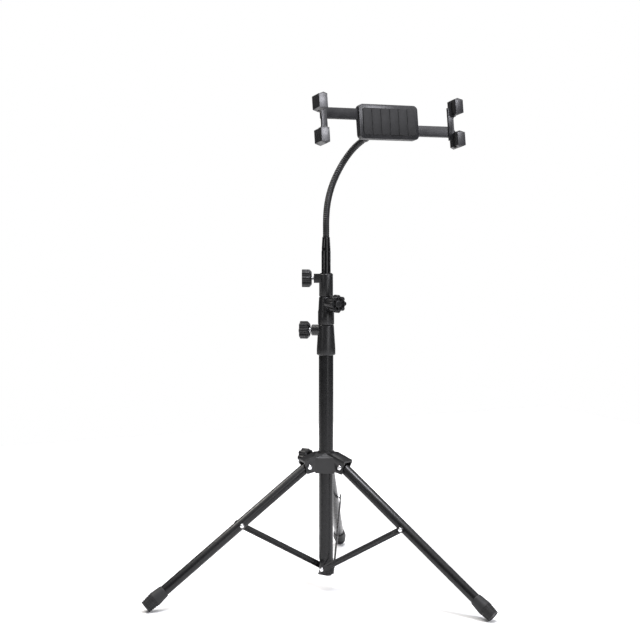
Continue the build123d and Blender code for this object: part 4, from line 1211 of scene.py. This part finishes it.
@dataclass(frozen=True)
class HubHood:
    """The raised ring on top of the hub, and the webs with a sagging hood between its arms."""

    gap_turn: float = 60.0
    bore_r: float = 11.2 * MM
    ring_r: float = 12.9 * MM
    ring_rise: float = 1.2 * MM
    ring_depth: float = 2.0 * MM
    web_half: float = 14.6 * MM
    web_inner: float = 12.2 * MM
    web_face: float = 20.2 * MM
    web_foot: float = 1.2 * MM
    lip_drop: float = 5.2 * MM
    lip_out: float = 0.7 * MM
    lip_height: float = 0.9 * MM
    lip_root: float = 1.6 * MM
    shelf_drop: float = 0.3 * MM
    sag: float = 1.3 * MM
    sag_below: float = 4.0 * MM
    sag_over: float = 3.0 * MM
    ring_soft: float = 0.55 * MM
    web_soft: float = 0.6 * MM

    def ring(self, top: float) -> Array:
        """The ring's rounded outline, turned about the column."""
        low, high = top - self.ring_depth, top + self.ring_rise
        middle = (self.bore_r + self.ring_r) / 2
        corners = [
            (middle, low),
            (self.ring_r, low),
            (self.ring_r, high),
            (self.bore_r, high),
            (self.bore_r, low),
            (middle, low),
        ]
        return UPRIGHT.turned(eased(np.array(corners), self.ring_soft, 6), 128)

    def web(self, azimuth: float, low: float, top: float) -> Array:
        """A web's outline of reach and height, carried straight across the gap between two arms.

        The hood's lip sags by a parabola: most in the middle, nothing at the arms.

        Args:
            azimuth: the middle of the gap, in degrees.
            low: the hub's lowest height.
            top: its highest.

        Returns:
            The closed grid of points.
        """
        foot, lip, middle = low + self.web_foot, top - self.lip_drop, (low + top) / 2
        shelf = top - self.shelf_drop
        corners = np.array([
            (self.web_inner, middle),
            (self.web_inner, foot),
            (self.web_face, foot),
            (self.web_face, lip - self.lip_root),
            (self.web_face + self.lip_out, lip - self.lip_height),
            (self.web_face + self.lip_out, lip),
            (self.ring_r, shelf),
            (self.web_inner, shelf),
            (self.web_inner, middle),
        ])
        outline = eased(corners, self.web_soft, 5)[:-1]
        across = np.linspace(-1.0, 1.0, 25)[:, None]
        high_share = smooth_step((outline[:, 1] - (lip - self.sag_below)) / self.sag_over)[None]
        near_share = smooth_step((outline[:, 0] - self.ring_r) / (self.web_face - self.ring_r))[None]
        height = outline[:, 1][None] - self.sag * (1 - across**2) * high_share * near_share
        reach = outline[:, 0][None] * np.ones_like(across)
        side = across * self.web_half * np.ones_like(reach)
        turn = math.radians(azimuth)
        x = reach * math.cos(turn) - side * math.sin(turn)
        y = reach * math.sin(turn) + side * math.cos(turn)
        return capped(np.stack([x, y, height], axis=-1))

    def build(self) -> None:
        """Make the ring and the three webs, and let them ride on the hub."""
        low, top = (float(corner[2]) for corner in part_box("hub"))
        dress(grid_mesh("hub_throat_ring", self.ring(top)), "moulding", "hub")
        webs = [self.web(leg.azimuth + self.gap_turn, low, top) for leg in LEGS]
        dress(grid_mesh("hub_webs", *webs), "moulding", "hub")


# Studio


@dataclass(frozen=True)
class SoftBox:
    """A soft rectangular light: its place, its sides in metres, its power in watts and its tint."""

    name: str
    place: tuple[float, float, float]
    width: float
    height: float
    power: float
    tint: tuple[float, float, float]

    def hang(self, target: Vector) -> None:
        """Put the light in its place, turned towards a target and unseen by the camera."""
        light = bpy.data.lights.new(f"softbox_{self.name}", "AREA")
        light.shape = "RECTANGLE"
        light.size = self.width
        light.size_y = self.height
        light.energy = self.power
        light.color = self.tint
        lamp = in_scene(light.name, light)
        lamp.location = self.place
        lamp.visible_camera = False
        lamp.rotation_euler = (target - Vector(self.place)).to_track_quat("-Z", "Y").to_euler()


COOL, WARM, WHITE = (0.93, 0.93, 1.0), (1.0, 0.95, 0.89), (1.0, 1.0, 1.0)
SOFT_BOXES = (
    SoftBox("tall", (0.05, -2.2, 0.75), 0.6, 1.6, 9.0, WHITE),
    SoftBox("key", (0.84, -2.12, 1.5), 0.4, 0.5, 26.0, COOL),
    SoftBox("left", (-2.4, -0.5, 0.9), 0.4, 0.4, 3.0, WHITE),
    SoftBox("back", (-1.0, 1.0, 2.4), 0.6, 0.6, 30.0, WARM),
    SoftBox("right", (2.3, 0.9, 1.1), 0.4, 1.2, 7.0, COOL),
    SoftBox("top", (0.1, -0.4, 2.7), 0.7, 0.7, 50.0, COOL),
    SoftBox("ceiling", (0.0, 0.0, 3.2), 5.5, 5.5, 145.0, WHITE),
)


@dataclass
class Studio:
    """A white floor and backdrop, soft lights and the camera of the photograph."""

    camera_place: tuple[float, float, float] = (-0.8824, -1.7961, 0.5676)
    camera_turn: float = -25.9
    camera_pitch: float = 4.32
    lens: float = 74.27
    sensor: float = 36.0
    floor_size: float = 3.0
    floor_white: float = 0.93
    room_light: float = 0.09
    aim_height: float = 0.35

    def build(self) -> None:
        """Make the floor, the lights, the world and the camera."""
        self._floor()
        self._lights()
        self._world()
        self._camera()
        log.info("studio")

    def _floor(self) -> None:
        """A flat square floor under the feet."""
        half = self.floor_size / 2
        corners = np.array([[-half, -half, 0], [half, -half, 0], [half, half, 0], [-half, half, 0]])
        floor = mesh_object("studio_floor", corners, np.array([[0, 1, 2, 3]]))
        material = bpy.data.materials.new("studio_white")
        material.use_nodes = True
        shader = material.node_tree.nodes["Principled BSDF"]
        shader.inputs["Base Color"].default_value = (*[self.floor_white] * 3, 1.0)
        shader.inputs["Roughness"].default_value = 0.9
        floor.data.materials.append(material)

    def _lights(self) -> None:
        """Hang each soft box round the stand, turned towards the middle of the column."""
        for box in SOFT_BOXES:
            box.hang(Vector((0.0, 0.0, self.aim_height)))

    def _world(self) -> None:
        """A white backdrop whose own light on the stand is dim, as in a dark room."""
        world = bpy.data.worlds.new("studio_world")
        world.use_nodes = True
        nodes, links = world.node_tree.nodes, world.node_tree.links
        nodes["Background"].inputs["Color"].default_value = (1.0, 1.0, 1.0, 1.0)
        strength = nodes.new("ShaderNodeMapRange")
        strength.inputs["To Min"].default_value = self.room_light
        strength.inputs["To Max"].default_value = 1.0
        links.new(nodes.new("ShaderNodeLightPath").outputs["Is Camera Ray"], strength.inputs["Value"])
        links.new(strength.outputs["Result"], nodes["Background"].inputs["Strength"])
        bpy.context.scene.world = world
        bpy.context.scene.view_settings.view_transform = "Standard"

    def _camera(self) -> None:
        """The camera of the photograph, at its place, turn, pitch and focal length."""
        data = bpy.data.cameras.new("camera")
        data.sensor_width = self.sensor
        data.lens = self.lens
        data.clip_end = 60.0
        camera = in_scene("camera", data)
        camera.location = self.camera_place
        tilt = math.radians(90.0 - self.camera_pitch)
        camera.rotation_euler = Euler((tilt, 0.0, math.radians(self.camera_turn)))
        bpy.context.scene.camera = camera


# The flexible neck


@dataclass
class FlexibleNeck:
    """The ribbed neck, in two halves that meet halfway along it."""

    straight_start: float = 532.4 * MM
    curve_start: float = 552.4 * MM
    reach: float = 62.1 * MM
    sweep: float = 43.5 * MM
    rise: float = 133.0 * MM
    pole_shares: tuple[tuple[float, float, float], ...] = (
        (0.0, 0.0, 0.0),
        (0.0, 0.0, 0.091),
        (0.0, 0.055, 0.413),
        (0.449, 0.986, 0.4705),
        (0.725, 1.0, 0.8252),
        (1.0, 0.264, 1.0),
    )
    end_length: float = 20.0 * MM
    plain_length: float = 10.0 * MM
    crest: float = 5.0 * MM
    valley: float = 4.35 * MM
    plain: float = 4.4 * MM
    pitch: float = 3.2 * MM
    rows_per_rib: int = 10
    columns: int = 40

    def _bezier(self, share: Array) -> tuple[Array, Array]:
        """Points and directions on the curve: each pole weighed by its Bernstein term.

        Args:
            share: places along the curve, from 0 to 1.

        Returns:
            The points and the unit directions, each n x 3.
        """
        poles = np.array(self.pole_shares) * np.array([self.reach, self.sweep, self.rise])
        poles = poles + np.array([0.0, 0.0, self.curve_start])
        order = len(poles) - 1
        weights = [math.comb(order, i) * share**i * (1 - share) ** (order - i) for i in range(order + 1)]
        slopes = [math.comb(order - 1, i) * share**i * (1 - share) ** (order - 1 - i) for i in range(order)]
        points = np.stack(weights, axis=1) @ poles
        runs = np.stack(slopes, axis=1) @ np.diff(poles, axis=0)
        return points, unit(runs)

    def route(self) -> tuple[Array, Array, Array]:
        """The whole centre line: straight, curved, straight.

        Returns:
            Distances along the neck, the points there, and the unit directions.
        """
        points, runs = self._bezier(np.linspace(0.0, 1.0, 801))
        first = points[0] - runs[0] * self.end_length
        last = points[-1] + runs[-1] * self.end_length
        points = np.concatenate([[first], points, [last]])
        runs = np.concatenate([runs[:1], runs, runs[-1:]])
        steps = np.linalg.norm(np.diff(points, axis=0), axis=1)
        return np.concatenate([[0.0], np.cumsum(steps)]), points, runs

    def radius(self, along: Array, length: float) -> Array:
        """The skin's radius: a round-topped rib each pitch, plain at both ends.

        Args:
            along: distances from the neck's lower end.
            length: the neck's length.

        Returns:
            The radius at each distance.
        """
        ribbed = length - 2 * self.plain_length
        count = round(ribbed / self.pitch)
        phase = (along - self.plain_length) / ribbed * count
        wave = np.abs(np.sin(np.pi * phase)) ** 0.7
        ribs = self.valley + (self.crest - self.valley) * wave
        inside = (along > self.plain_length) & (along < length - self.plain_length)
        return np.where(inside, ribs, self.plain)

    def skin(self, name: str, low: float, high: float) -> bpy.types.Object:
        """A stretch of the skin: circles of the rib's radius carried along the route.

        Args:
            name: the piece's name.
            low: where it starts, as a distance along the neck.
            high: where it ends.

        Returns:
            The piece, with both ends closed on the centre line.
        """
        reaches, points, runs = self.route()
        steps = round((high - low) / self.pitch * self.rows_per_rib)
        along = np.linspace(low, high, steps + 1)
        middle = along_route(along, reaches, points)
        run = unit(along_route(along, reaches, runs))
        x_axis = np.array([1.0, 0.0, 0.0])
        across = unit(x_axis - run * (run @ x_axis)[:, None])
        beside = np.cross(run, across)
        turn = full_turn(self.columns)
        radius = self.radius(along, reaches[-1])[:, None, None]
        ring = across[:, None] * np.cos(turn)[None, :, None] + beside[:, None] * np.sin(turn)[None, :, None]
        return grid_mesh(name, capped(middle[:, None] + ring * radius))

    def build(self) -> None:
        """Make both halves, which meet halfway along the neck."""
        reaches, points, _ = self.route()
        length = reaches[-1]
        spots = (0.0, length / 2, length)
        for i, bodies in enumerate((("neck_tube", "neck"), ("neck", "neck_head"))):
            half = self.skin(f"neck_skin_{i + 1}", spots[i], spots[i + 1])
            stretch(half, "neck_skin", bodies, "gooseneck")


def main() -> None:
    """Dress the frame, build each piece in order and set up the studio."""
    logging.basicConfig(level=logging.INFO, format="%(name)s: %(message)s")
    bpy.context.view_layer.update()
    dress_frame()
    Knobs().build()
    Fasteners().build()
    Feet().build()
    Column().build()
    NeckFittings().build()
    for moulding in MOULDINGS:
        moulding.build()
    HubHood().build()
    for spring in SPRINGS:
        spring.build()
    FlexibleNeck().build()
    Studio().build()


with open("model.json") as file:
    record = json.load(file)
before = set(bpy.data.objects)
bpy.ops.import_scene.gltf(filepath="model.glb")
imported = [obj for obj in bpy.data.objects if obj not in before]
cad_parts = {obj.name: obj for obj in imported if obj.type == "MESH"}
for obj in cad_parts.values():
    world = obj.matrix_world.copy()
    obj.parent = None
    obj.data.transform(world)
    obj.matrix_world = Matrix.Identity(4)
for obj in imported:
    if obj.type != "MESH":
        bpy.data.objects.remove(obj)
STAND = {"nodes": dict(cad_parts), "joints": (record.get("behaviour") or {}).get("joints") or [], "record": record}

if __name__ == "__main__":
    main()
